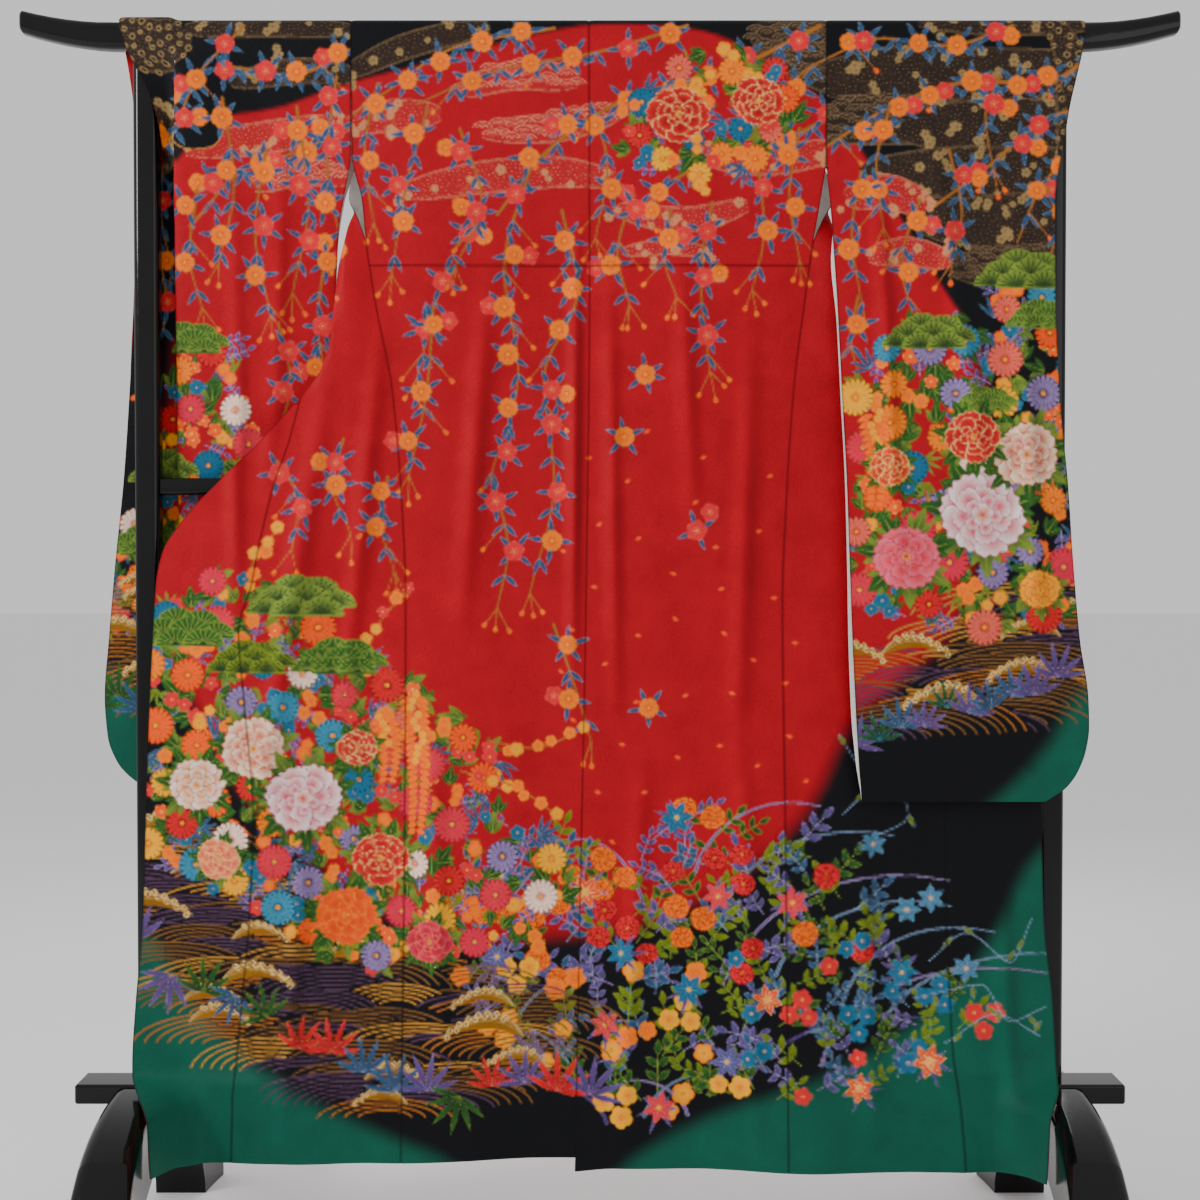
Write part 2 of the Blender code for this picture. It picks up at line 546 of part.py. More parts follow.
def make_sleeves(navy):
    near = sleeve_section(SLEEVE_RIGHT_NEAR)
    far = sleeve_section(SLEEVE_RIGHT_FAR, near, JOINED_BELOW_RIGHT)
    for name, section, side in (("sleeve_right_back", near, -1), ("sleeve_right_front", far, 1)):
        rows = hung_rows(section, RIGHT_SLEEVE_LEVELS, None, SLEEVE_SHARES, side)
        cloth_wall(name, rows, navy)
    near = folded_section(SLEEVE_LEFT_NEAR)
    far = sleeve_section(SLEEVE_LEFT_FAR, near, JOINED_BELOW_LEFT)
    for name, section, side, shares in (("sleeve_left_back", near, -1, FOLDED_SHARES),
                                        ("sleeve_left_front", far, 1, SLEEVE_SHARES)):
        rows = hung_rows(section, LEFT_SLEEVE_LEVELS, None, shares, side, cuff_puff)
        cloth_wall(name, rows, navy)


def collar_side(side_x, lap, sign):
    """Rows of the collar band along one front, from its lower end up to the rail."""
    section = front_section(side_x, lap, sign)
    edge_x, edge_y = curve(lap, "edge_x", sign), curve(lap, "edge_y")
    offsets = [curve(COLLAR_BAND, name) for name in Band._fields[1:]]
    rows = []
    for z in sorted(level for level in BODY_LEVELS if level >= COLLAR_END):
        x, y = section(z)[-1] if z >= OKUMI_TOP else (float(edge_x(z)), float(edge_y(z)))
        root_out, root_y, tip_out, tip_y, tip_z = (float(offset(z)) for offset in offsets)
        root = np.array([x + sign * root_out, y + root_y, z])
        tip = np.array([x + sign * tip_out, y + tip_y, z + tip_z])
        rows.append([root + (tip - root) * t for t in COLLAR_SHARES])
    return rows


def collar_neck(sign):
    """Rows of the collar band over the rail, from one side to the neck's middle."""
    rows = []
    for neck in COLLAR_NECK:
        row = []
        for t in COLLAR_SHARES:
            down = neck.root_down + (neck.tip_down - neck.root_down) * t
            y, z = over_rail(down, 1, NECK_LIFT)
            reach = neck.root_x + (neck.tip_x - neck.root_x) * t
            row.append(np.array([NECK_MIDDLE_X + sign * reach, y, z]))
        rows.append(row)
    return rows


def make_collar(red):
    left = collar_side(curve(SIDE_LEFT, "x"), LAP_LEFT, -1) + collar_neck(-1)
    right = collar_side(curve(SIDE_RIGHT, "x"), LAP_RIGHT, 1) + collar_neck(1)
    cloth_wall("collar", np.array(left + right[-2::-1]), red)


def rounded_outline(half_width, half_height, radius, steps=3):
    """Corner points of a rounded rectangle round its middle, anticlockwise."""
    points = []
    for turn, (sx, sy) in enumerate(((1, 1), (-1, 1), (-1, -1), (1, -1))):
        for k in range(steps + 1):
            angle = math.pi / 2 * (turn + k / steps)
            points.append((sx * (half_width - radius) + radius * math.cos(angle),
                           sy * (half_height - radius) + radius * math.sin(angle)))
    return points


def loft(name, rings, finish):
    """A solid through closed rings of equally many points, with flat ends."""
    wide = len(rings[0])
    vertices = [point for ring in rings for point in ring]
    faces = [tuple(range(wide)), tuple(range(len(vertices) - wide, len(vertices)))]
    for i in range(len(rings) - 1):
        for j in range(wide):
            a, b = i * wide + j, i * wide + (j + 1) % wide
            faces.append((a, b, b + wide, a + wide))
    return add_object(name, vertices, faces, finish)


def make_rail(lacquer):
    middle = (RAIL_BOTTOM + RAIL_TOP) / 2
    half_height = (RAIL_TOP - RAIL_BOTTOM) / 2
    reach = RAIL_HALF_LENGTH - RAIL_RISE_START
    stations = [(RAIL_RISE_START + reach * k / 6, 0.0) for k in range(6)]
    stations += [(RAIL_HALF_LENGTH - 2.5, 0.0), (RAIL_HALF_LENGTH, 2.5)]
    rings = []
    for sign in (-1, 1):
        ordered = stations[::-1] if sign < 0 else stations
        for x, inset in ordered:
            share = (x - RAIL_RISE_START) / reach
            centre = middle + RAIL_RISE * share ** 1.8
            height = half_height + (RAIL_TIP_HEIGHT / 2 - half_height) * share
            outline = rounded_outline(RAIL_HALF_DEPTH - inset, height - inset, RAIL_CORNER - inset)
            rings.append([(sign * x, y, centre + z) for y, z in outline])
    loft("top_rail", rings, lacquer)


def make_posts(lacquer):
    outline = rounded_outline(POST_WIDTH / 2, POST_WIDTH / 2, POST_CORNER)
    for name, x in (("post_left", -POST_X), ("post_right", POST_X)):
        rings = [[(x + dx, dy, z) for dx, dy in outline]
                 for z in (BOARD_TOP + GAP, RAIL_BOTTOM - GAP)]
        loft(name, rings, lacquer)


def make_crossbar(lacquer):
    half = POST_X - POST_WIDTH / 2 - GAP
    middle = (BAR_TOP + BAR_BOTTOM) / 2
    outline = rounded_outline(BAR_HALF_DEPTH, (BAR_TOP - BAR_BOTTOM) / 2, BAR_CORNER)
    loft("crossbar", [[(x, y, middle + z) for y, z in outline] for x in (-half, half)], lacquer)


def make_board(lacquer):
    middle = (BOARD_TOP + BOARD_BOTTOM) / 2
    half_height = (BOARD_TOP - BOARD_BOTTOM) / 2
    rings = []
    for x, inset in ((-BOARD_HALF_LENGTH, 2), (2 - BOARD_HALF_LENGTH, 0),
                     (BOARD_HALF_LENGTH - 2, 0), (BOARD_HALF_LENGTH, 2)):
        outline = rounded_outline(BOARD_HALF_DEPTH - inset, half_height - inset,
                                  BOARD_CORNER - inset)
        rings.append([(x, y, middle + z) for y, z in outline])
    loft("bottom_board", rings, lacquer)


def foot_top(y):
    """Height of the foot's crown line at a distance from its middle."""
    share = min(abs(y) / FOOT_HALF_LENGTH, 1.0)
    curved = FOOT_HEIGHT * (1 - share ** FOOT_SHAPE) ** (1 / FOOT_SHAPE)
    return max(curved, FOOT_TOE_HEIGHT)


def foot_bottom(y):
    share = abs(y) / ARCH_HALF_LENGTH
    if share >= 1:
        return 0.0
    return ARCH_HEIGHT * (1 - share ** ARCH_SHAPE) ** 0.5


def foot_ring(y, sign):
    top, bottom = foot_top(y), foot_bottom(y)
    spread = (abs(y) / FOOT_HALF_LENGTH) ** 3
    width = FOOT_WIDTH_CROWN + (FOOT_WIDTH_TOE - FOOT_WIDTH_CROWN) * spread
    outer, inner = FOOT_OUTER_X, FOOT_OUTER_X - width
    radius = FOOT_SHOULDER
    ring = [(outer, bottom), (inner, bottom)]
    for k in range(5):
        angle = math.pi / 2 * k / 4
        ring.append((inner + radius * (1 - math.cos(angle)), top - radius * (1 - math.sin(angle))))
    for k in range(5):
        angle = math.pi / 2 * k / 4
        ring.append((outer - radius * (1 - math.sin(angle)), top - radius * (1 - math.cos(angle))))
    return [(sign * x, y, z) for x, z in ring]


def make_feet(lacquer):
    stations = [-y for y in FOOT_STATIONS[:0:-1]] + list(FOOT_STATIONS)
    notch = cutter_box("board_notch", (0, 0, BOARD_BOTTOM - GAP + 50),
                       (2 * BOARD_HALF_LENGTH + 20, 2 * (BOARD_HALF_DEPTH + GAP), 100))
    for name, sign in (("foot_left", -1), ("foot_right", 1)):
        foot = loft(name, [foot_ring(y, sign) for y in stations], lacquer)
        cut = foot.modifiers.new("board_notch", "BOOLEAN")
        cut.object = notch
        cut.solver = "EXACT"


def cutter_box(name, centre, size):
    """A guide box that cuts and isn't part of the object."""
    low = [c - s / 2 for c, s in zip(centre, size)]
    high = [c + s / 2 for c, s in zip(centre, size)]
    corners = [(x, y, z) for x in (low[0], high[0]) for y in (low[1], high[1])
               for z in (low[2], high[2])]
    faces = [(0, 1, 3, 2), (4, 6, 7, 5), (0, 4, 5, 1), (2, 3, 7, 6), (0, 2, 6, 4), (1, 5, 7, 3)]
    mesh = bpy.data.meshes.new(name)
    mesh.from_pydata([tuple(v * MM for v in corner) for corner in corners], [], faces)
    made = bpy.data.objects.new(name, mesh)
    bpy.context.scene.collection.objects.link(made)
    made.hide_render = True
    made.display_type = "WIRE"
    return made


def main():
    for item in list(bpy.data.objects):
        bpy.data.objects.remove(item, do_unlink=True)
    lacquer = material("black_lacquer", LACQUER, 0.12)
    red = material("red_silk_crepe", RED, 0.62)
    navy = material("navy_silk_crepe", NAVY_BLACK, 0.62)
    make_rail(lacquer)
    make_posts(lacquer)
    make_crossbar(lacquer)
    make_board(lacquer)
    make_feet(lacquer)
    make_body(red, navy)
    make_sleeves(navy)
    make_collar(red)


main()
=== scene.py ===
"""Looks of the furisode on its lacquered stand: painted silk panels, lining, seams and lacquer.

Tables and sizes are in millimetres, as in the part's own source, and MM turns them into metres.
Each width of silk is drawn flat, in the X and Z that it would have if it hung in one plane, and
is then laid on the form that its solid has.
"""

import math
import random
from collections import namedtuple

import bpy
import numpy as np
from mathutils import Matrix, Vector


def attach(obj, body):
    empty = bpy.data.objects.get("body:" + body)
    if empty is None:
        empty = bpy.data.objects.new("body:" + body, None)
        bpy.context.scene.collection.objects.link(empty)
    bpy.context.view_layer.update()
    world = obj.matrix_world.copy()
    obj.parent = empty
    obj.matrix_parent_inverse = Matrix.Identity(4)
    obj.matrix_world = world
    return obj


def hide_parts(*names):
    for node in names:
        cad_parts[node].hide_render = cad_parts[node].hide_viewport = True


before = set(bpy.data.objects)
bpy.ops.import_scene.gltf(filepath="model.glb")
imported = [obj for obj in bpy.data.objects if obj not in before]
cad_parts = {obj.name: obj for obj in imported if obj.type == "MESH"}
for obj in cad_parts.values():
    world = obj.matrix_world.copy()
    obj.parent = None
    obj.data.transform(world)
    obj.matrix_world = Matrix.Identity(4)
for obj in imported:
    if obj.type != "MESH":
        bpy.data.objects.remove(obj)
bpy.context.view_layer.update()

MM = 0.001

# Sizes of the stand that the cloth lies on
RAIL_TOP = 1675.0
RAIL_HALF_DEPTH = 17.0
RAIL_CORNER = 10.0

# Sizes of the cloth
GAP = 0.3
CLOTH = 2.0
HALF_SEAM = GAP / 2
CLOTH_FACE = GAP + CLOTH / 2
SHEET_PITCH = CLOTH + GAP
SLIT_MIDDLE = 1432.0
OKUMI_TOP = 1165.0
BODY_FOLDS = 5
BODY_FOLD_DEPTH = 4.5
BODY_FOLD_TOP = 1150.0
BODY_FOLD_FULL = 400.0
FOLD_OVERLAP = 9.0
CREST_AHEAD = 14.0
CREST_FORWARD = 3.0
LEAN_START = 0.25
OKUMI_PANEL_TOP = 1155.0
HANG_TOP = RAIL_TOP - RAIL_CORNER
JOINED_BELOW_RIGHT = 1440.0
JOINED_BELOW_LEFT = 1200.0

def rows_of(kind, *values):
    """A table's rows, each with the names of its columns."""
    return [kind(*row) for row in values]


# Seam lines of the body, height and x
Seam = namedtuple("Seam", "z x")
CENTRE_SEAM = rows_of(
    Seam,
    (1677, -15), (1340, -14), (891, -19), (483, -27), (110, -34))
SIDE_LEFT = rows_of(
    Seam,
    (1677, -337), (1490, -335), (1432, -322), (1374, -316), (1296, -304), (1175, -281), (1021, -268),
    (891, -263), (578, -265), (110, -270))
SIDE_RIGHT = rows_of(
    Seam,
    (1677, 306), (1490, 306), (1432, 298), (1374, 288), (1296, 277), (1175, 262), (1021, 252),
    (891, 247), (578, 251), (110, 255))

# Depth of the body cloth where back and front meet at the side seam
Depth = namedtuple("Depth", "z y")
BODY_DEPTH = rows_of(
    Depth,
    (1665, -18.3), (1600, -19), (1490, -20.5), (1374, -24), (1165, -27), (900, -29), (600, -31),
    (400, -35), (240, -40), (110, -44))

# The fronts swing from behind the rail out to the sides in one soft turn. Each row is a section
# through the turn: b, c and d are points between the side seam and the front edge, given from
# the side seam outward (out) and in depth (y).
Turn = namedtuple("Turn", "z side_out side_y b_out b_y c_out c_y d_out d_y edge_out edge_y")
FRONT_TURN = rows_of(
    Turn,
    (1665, 0, 18.3, -62, 18.3, -123, 18.3, -184, 18.3, -243, 18.3),
    (1577, 0, 19, -53, 21, -106, 22, -159, 22, -206, 21),
    (1490, 0, 18, -34, 22, -74, 32, -116, 33, -155, 26),
    (1467, 10, 14, -16, 24, -52, 31, -92, 31, -130, 27),
    (1438, 20, 7, 4, 18, -30, 26, -67, 28, -106, 27), (1410, 10, -11, 19, 0, -1, 20, -43, 27, -88, 27),
    (1392, 4, -19, 25, -15, 16, 6, -24, 25, -72, 27), (1374, 0, -24, 28, -27, 31, -8, -6, 22, -57, 26),
    (1297, 0, -25, 40, -32, 54, -27, 38, 5, 1, 20), (1235, 0, -26, 45, -32, 72, -33, 73, -20, 57, -6),
    (1210, 0, -26.5, 44, -31, 77, -33, 88, -31, 84, -23),
    (1200, 0, -26.7, 42, -31, 76, -33, 91, -32, 94, -26.5),
    (1188, 0, -26.8, 39, -31, 72, -32, 93, -32, 104, -29),
    (1165, 0, -27, 32, -30, 63, -31, 94, -31, 125, -31))

# Below the turn: okumi seam and outer edge, x given outward from the middle of the stand
Lap = namedtuple("Lap", "z seam_x edge_x edge_y")
LAP_LEFT = rows_of(
    Lap,
    (1165, 404.5, 405.5, -31), (1103, 421, 462, -31), (1056, 438, 511, -31), (1001, 453, 563, -31),
    (956, 463, 592, -32), (914, 471, 601, -32), (847, 489, 605, -32), (755, 482, 610, -32),
    (600, 470, 616, -32), (450, 476, 621, -34), (345, 486, 630, -37), (265, 493, 634, -41),
    (246, 495, 633, -45), (238, 495, 626, -62), (229, 496, 614, -90), (222, 497, 600, -122),
    (215, 497, 593.5, -136), (208, 497, 590.5, -141), (165, 498, 588.5, -142), (120, 499, 587, -134))
LAP_RIGHT = rows_of(
    Lap,
    (1165, 373.5, 374.5, -31), (1103, 400, 430, -31), (1056, 420, 478, -31), (1001, 438, 530, -31),
    (956, 450, 560, -32), (914, 458, 575, -32), (847, 465, 584, -32), (755, 468, 592, -32),
    (600, 468, 599, -32), (450, 470, 603, -34), (345, 475, 614, -37), (269, 479, 617, -43),
    (250, 481, 616, -56), (238, 483, 612, -82), (229, 484, 605, -100), (222, 485, 598, -113),
    (215, 486, 593.5, -121), (208, 487, 590.5, -125), (165, 491, 588.5, -126), (110, 495, 587, -119))

# Hem heights along x
Hem = namedtuple("Hem", "x z")
HEM_OKUMI_LEFT = rows_of(
    Hem,
    (-588, 136), (-545, 131), (-497, 131))
HEM_FRONT_LEFT = rows_of(
    Hem,
    (-497, 131), (-268, 127))
HEM_BACK_LEFT = rows_of(
    Hem,
    (-268, 127), (-133, 133), (-30, 135))
HEM_BACK_RIGHT = rows_of(
    Hem,
    (-41, 115), (19, 121), (255, 115))
HEM_FRONT_RIGHT = rows_of(
    Hem,
    (255, 115), (495, 118))
HEM_OKUMI_RIGHT = rows_of(
    Hem,
    (495, 118), (587, 124))

# Right sleeve, near layer: inner edge, middle and cuff edge of each section
Sleeve = namedtuple("Sleeve", "z inner_x inner_y mid_y cuff_x cuff_y")
SLEEVE_RIGHT_NEAR = rows_of(
    Sleeve,
    (1665, 306.15, -18.3, -18.3, 656, -18.3), (1634, 306.15, -19, -19.5, 652, -20),
    (1596, 306.15, -20, -21.5, 643, -23), (1559, 306.15, -21, -24, 634, -26),
    (1520, 306.15, -22, -28, 627, -29), (1490, 306.15, -23, -32, 621, -32),
    (1455, 307.5, -28, -38, 614, -37), (1426, 310, -34, -43, 611, -41), (1360, 314, -43, -50, 610, -47),
    (1293, 318, -50, -55, 610, -51), (1159, 325, -54, -59, 616, -53), (1052, 331, -55, -61, 627, -53),
    (945, 335, -55, -62, 635, -53), (838, 339, -55, -61, 645, -53), (757, 343, -55, -59, 657, -53),
    (720, 345, -54.5, -57, 658, -53), (690, 347, -54, -55.5, 654, -53),
    (660, 349, -53.5, -54, 643, -53), (638, 351, -53, -53, 627, -53), (620, 352, -53, -53, 600, -53))
# Far layer: from the rail's far side it comes forward between the body and the near layer
SLEEVE_RIGHT_FAR = rows_of(
    Sleeve,
    (1665, 306.15, 18.3, 18.3, 660, 18.3), (1577, 306.15, 19, 20, 625, 20),
    (1525, 306.15, 19, 20, 592, 19), (1500, 306.15, 18.2, 11, 592, 4), (1490, 306.15, 18, 4, 593, -4),
    (1465, 321, 6, -12, 598, -24), (1441, 319, -6, -27, 608, -34), (1417, 315, -15, -36, 610, -41),
    (1398, 315, -25, -39, 610, -43), (1349, 311, -36, -42, 610, -46), (1268, 318, -42, -43, 611, -49),
    (1159, 324, -43, -43, 616, -50.7), (1052, 330, -43, -43, 627, -50.7),
    (945, 333, -43, -43, 635, -50.7), (838, 335, -43, -43, 645, -50.7),
    (757, 338, -43, -44, 657, -50.7), (720, 340, -44, -46, 658, -50.7),
    (690, 343, -46, -48, 654, -50.7), (660, 346, -49, -49.7, 643, -50.7),
    (638, 350, -50.7, -50.7, 627, -50.7), (620, 352, -50.7, -50.7, 600, -50.7))
# Left sleeve, near layer: a standing fold lies from the rail down beside the post. The fold's
# front is the lip, tuck is the turn under it, and back is where the cloth goes on to the cuff.
Folded = namedtuple(
    "Folded", "z inner_x inner_y half_x half_y lip_x lip_y tuck_x tuck_y back_x back_y cuff_x cuff_y")
SLEEVE_LEFT_NEAR = rows_of(
    Folded,
    (1665, -337.15, -18.3, -455, -18.3, -560, -18.3, -590, -18.3, -622, -18.3, -650, -18.3),
    (1634, -337.15, -19, -450, -19.5, -570, -21.5, -579, -20.5, -602, -19.3, -639, -20),
    (1618, -337.15, -19, -450, -20, -573, -25, -571, -20.5, -592, -18.8, -631, -21),
    (1600, -337.15, -19.5, -450, -20, -574, -28, -566, -22, -587, -17, -621, -22),
    (1566, -337.15, -20, -450, -21, -574, -27, -565, -20, -585, -13, -606, -21.5),
    (1526, -337.15, -20, -450, -21, -575, -25, -565, -18, -583, -10, -595, -20.5),
    (1510, -337.15, -20, -450, -20, -576, -24, -565, -17, -584, -8, -594.5, -12),
    (1500, -337.15, -19.5, -450, -19, -576, -22.5, -565, -15.5, -585, -5, -595.5, 2),
    (1490, -337.15, -19, -450, -18, -576, -21, -565, -14, -586, 0, -597, 12),
    (1480, -339, -17, -450, -17, -577, -19, -566, -12, -588, 7, -605, 22),
    (1441, -347.5, -9, -455, -11, -579, -11, -567, -4, -594, 19, -633, 24),
    (1400, -356, 0, -460, -6, -580, -2, -567, 4.5, -595, 20, -640, 26),
    (1300, -362, 6, -465, 1, -581, 5, -567, 11.5, -597, 22, -643, 28),
    (1165, -364, 10, -465, 8, -581, 12, -569, 18.5, -600, 25.5, -651, 29),
    (1056, -366, 14, -465, 13, -581, 14, -571, 20.5, -603, 26.5, -659, 29),
    (945, -367, 17, -465, 17, -578, 17, -576, 22.5, -610, 27.5, -671, 29),
    (834, -368, 20, -465, 20, -572, 20, -588, 25, -625, 28, -681, 29),
    (755, -368, 22, -465, 22, -560, 25, -598, 27, -640, 28.5, -687, 29),
    (700, -368, 24, -465, 25, -560, 27, -596, 28, -636, 29, -683, 29),
    (665, -369, 26, -465, 27, -555, 28, -590, 29, -628, 29, -670, 29),
    (640, -370, 28, -465, 29, -550, 29, -580, 29, -612, 29, -647, 29),
    (622, -371, 29, -465, 29, -540, 29, -565, 29, -590, 29, -612, 29))
SLEEVE_LEFT_FAR = rows_of(
    Sleeve,
    (1665, -337.15, 18.3, 18.3, -655, 18.3), (1605, -337.15, 20, 24, -645, 22),
    (1565, -337.15, 21, 28, -641, 25), (1490, -337.15, 22, 34, -640, 31),
    (1438, -352, 26, 38, -641, 35), (1376, -362, 31, 41, -643, 36), (1305, -365, 35, 42, -645, 35),
    (1240, -366, 37, 43, -648, 33), (1165, -367, 38, 44, -651, 31.3), (1056, -368, 38, 44, -659, 31.3),
    (945, -369, 38, 44, -671, 31.3), (834, -370, 38, 43, -681, 31.3), (755, -371, 38, 41, -687, 31.3),
    (700, -371, 36, 38, -683, 31.3), (665, -371, 34, 34, -670, 31.3),
    (640, -371, 31.3, 31.3, -647, 31.3), (622, -371, 31.3, 31.3, -612, 31.3))
CUFF_PUFF_LEFT = 4.5
CUFF_PUFF_X = (-570.0, -586.0)

# Collar band: tip is where the band's outer edge lies, from the front edge it is sewn to.
# Root offsets keep it clear of the front it turns behind.
Band = namedtuple("Band", "z root_out root_y tip_out tip_y tip_z")
COLLAR_BAND = rows_of(
    Band,
    (956, -1, 3.2, -38, 5, -38), (1056, -1, 3.2, -37, 5, -38), (1120, -1, 3.2, -37, 7, -36),
    (1155, -1, 3.6, -39, 12, -32), (1191, -1.5, 4.5, -43, 22, -20), (1228, -3, 3.5, -46, 33, -10),
    (1264, -3, 2, -52, 22, -4), (1301, -2, 0.8, -55, 6, 0), (1374, -0.8, 0, -55, 0, 0),
    (1490, -0.8, 0, -55, 0, 0), (1607, -0.8, 0, -55, 0, -4), (1665, -0.8, 0, -44, 1, -43))
COLLAR_END = 950.0
COLLAR_SHARES = (0, 0.115, 0.213, 0.312, 0.41, 0.7, 1)
# Round the neck the band lies over the rail: distance down the cloth from the rail's top
# middle, for the sewn edge (root) and the outer edge (tip), with their x from the neck's middle
Neck = namedtuple("Neck", "root_x root_down tip_x tip_down")
COLLAR_NECK = rows_of(
    Neck,
    (77.5, 19.4, 29, 62.8), (77.5, 13.2, 27, 60), (77.5, 7, 25.5, 57), (77, 0.3, 23.5, 55),
    (50, 0.3, 15.5, 53), (25, 0.3, 7.5, 52), (0, 0.3, 0, 52))
NECK_LIFT = 0.5
NECK_MIDDLE_X = -15.5


def column(rows, field, scale=1.0):
    """One column of a table as two arrays, height (rising) and value."""
    ordered = sorted(rows, key=lambda row: row[0])
    keys = np.array([row[0] for row in ordered], float)
    values = np.array([getattr(row, field) for row in ordered], float) * scale
    return keys, values


def slopes(keys, values):
    """Slopes of a smooth curve that never overshoots its points."""
    steps = np.diff(keys)
    rates = np.diff(values, axis=0) / steps.reshape((-1,) + (1,) * (values.ndim - 1))
    result = np.zeros_like(values)
    before, after = rates[:-1], rates[1:]
    same = before * after > 0
    total = np.where(same, before + after, 1.0)
    result[1:-1] = np.where(same, 2 * before * after / total, 0.0)
    result[0], result[-1] = rates[0], rates[-1]
    return result


def smooth(keys, values, at):
    """Values of the smooth curve through the points, at the given places."""
    at = np.clip(np.asarray(at, float), keys[0], keys[-1])
    spot = np.clip(np.searchsorted(keys, at, side="right") - 1, 0, len(keys) - 2)
    slope = slopes(keys, values)
    step = keys[spot + 1] - keys[spot]
    t = (at - keys[spot]) / step
    if values.ndim > 1:
        step = step[..., None]
        t = t[..., None]
    a, b = values[spot], values[spot + 1]
    return (a * (1 + 2 * t) * (1 - t) ** 2 + b * t * t * (3 - 2 * t)
            + slope[spot] * step * t * (1 - t) ** 2 - slope[spot + 1] * step * t * t * (1 - t))


def curve(rows, field, scale=1.0):
    """A table's column as a function of its first column."""
    keys, values = column(rows, field, scale)
    return lambda at: smooth(keys, values, at)


def run_along(points):
    """Distance along a line of points, at each of them."""
    return np.concatenate([[0], np.cumsum(np.linalg.norm(np.diff(points, axis=0), axis=1))])


def across(points, shares):
    """Points on the smooth curve through a section's points, at shares of the way through them."""
    points = np.array(points, float)
    run = run_along(points)
    places = np.interp(np.asarray(shares) * (len(points) - 1), np.arange(len(points)), run)
    return smooth(run, points, places)


def body_fold(x, z):
    """Depth of the soft vertical folds that open towards the hem."""
    fade = np.clip((BODY_FOLD_TOP - z) / (BODY_FOLD_TOP - BODY_FOLD_FULL), 0, 1)
    wave = np.sin(2 * math.pi * BODY_FOLDS * (x + 600) / 1200 + 0.6)
    return BODY_FOLD_DEPTH * fade ** 1.3 * wave


def over_rail(down, side, lift=0.0):
    """Depth and height of cloth lying on the rail, at a distance from the rail's top middle."""
    radius = RAIL_CORNER + CLOTH_FACE + lift
    flat = RAIL_HALF_DEPTH - RAIL_CORNER
    top = RAIL_TOP + CLOTH_FACE + lift
    arc = radius * math.pi / 2
    if down <= flat:
        return side * down, top
    angle = min((down - flat) / radius, math.pi / 2)
    below = max(down - flat - arc, 0.0)
    return side * (flat + radius * math.sin(angle)), top - radius * (1 - math.cos(angle)) - below


def back_section(side_x, side_gap, centre_gap):
    """Section of a back width, from its side seam to the centre seam."""
    centre_x = curve(CENTRE_SEAM, "x")
    depth = curve(BODY_DEPTH, "y")

    def section(z):
        outer = float(side_x(z)) + side_gap
        inner = float(centre_x(z)) + centre_gap
        xs = np.linspace(outer, inner, 9)
        return [(x, float(depth(z)) + float(body_fold(x, z))) for x in xs]
    return section


def front_section(side_x, lap, sign):
    """Section of a front width, from its side seam to its edge, on the left (-1) or right (+1)."""
    names = ("side", "b", "c", "d", "edge")
    outs = [curve(FRONT_TURN, name + "_out") for name in names]
    depths = [curve(FRONT_TURN, name + "_y") for name in names]
    body_depth = curve(BODY_DEPTH, "y")
    lap_seam = curve(lap, "seam_x", sign)
    lap_depth = curve(lap, "edge_y")

    def section(z):
        outward = 1 if z < SLIT_MIDDLE else -1
        side = float(side_x(z))
        start = side + sign * outward * HALF_SEAM
        if z >= OKUMI_TOP:
            points = [(side + sign * float(out(z)), float(depth(z)))
                      for out, depth in zip(outs, depths)]
            points[0] = (points[0][0] + start - side, points[0][1])
            return points
        edge = float(lap_seam(z))
        shares = np.linspace(0, 1, 7)
        xs = start + (edge - sign * HALF_SEAM - start) * shares
        near, far = float(body_depth(z)), lap_seam_depth(z, body_depth, lap_depth)
        return [(x, near + (far - near) * min(1.0, 2 * share) + float(body_fold(x, z)))
                for x, share in zip(xs, shares)]
    return section


def lap_seam_depth(z, body_depth, lap_depth):
    """Depth of the okumi seam: the edge's depth, but never further forward than 10 mm."""
    base = float(body_depth(z))
    return base + max(-10.0, min(0.0, float(lap_depth(z)) - base))


def okumi_section(lap, sign):
    """Section of an okumi, from its seam with the front to the free edge."""
    body_depth = curve(BODY_DEPTH, "y")
    seam_x = curve(lap, "seam_x", sign)
    edge_x = curve(lap, "edge_x", sign)
    edge_y = curve(lap, "edge_y")

    def section(z):
        start, end = float(seam_x(z)) + sign * HALF_SEAM, float(edge_x(z))
        near, far = lap_seam_depth(z, body_depth, edge_y), float(edge_y(z))
        points = []
        for share in np.linspace(0, 1, 6):
            x = start + (end - start) * share
            fold = float(body_fold(x, z)) * (1 - share)
            lean = max(0.0, share - LEAN_START) / (1 - LEAN_START)
            points.append((x, near + (far - near) * lean ** 2 + fold))
        return points
    return section


def sleeve_section(rows, near=None, joined_below=None):
    """Section of a plain sleeve layer from its inner edge to its cuff edge."""
    inner_x, inner_y = curve(rows, "inner_x"), curve(rows, "inner_y")
    mid_y = curve(rows, "mid_y")
    cuff_x, cuff_y = curve(rows, "cuff_x"), curve(rows, "cuff_y")

    def section(z):
        xa, ya = float(inner_x(z)), float(inner_y(z))
        xb, yb = float(cuff_x(z)), float(cuff_y(z))
        middle = float(mid_y(z))
        if near is not None and z < joined_below:
            xb, yb = near(z)[-1][0], near(z)[-1][1] + SHEET_PITCH
        return [(xa, ya), (xa + 0.25 * (xb - xa), (ya + middle) / 2 + 0.25 * (middle - ya)),
                (xa + 0.5 * (xb - xa), middle),
                (xa + 0.75 * (xb - xa), (yb + middle) / 2 + 0.25 * (middle - yb)), (xb, yb)]
    return section


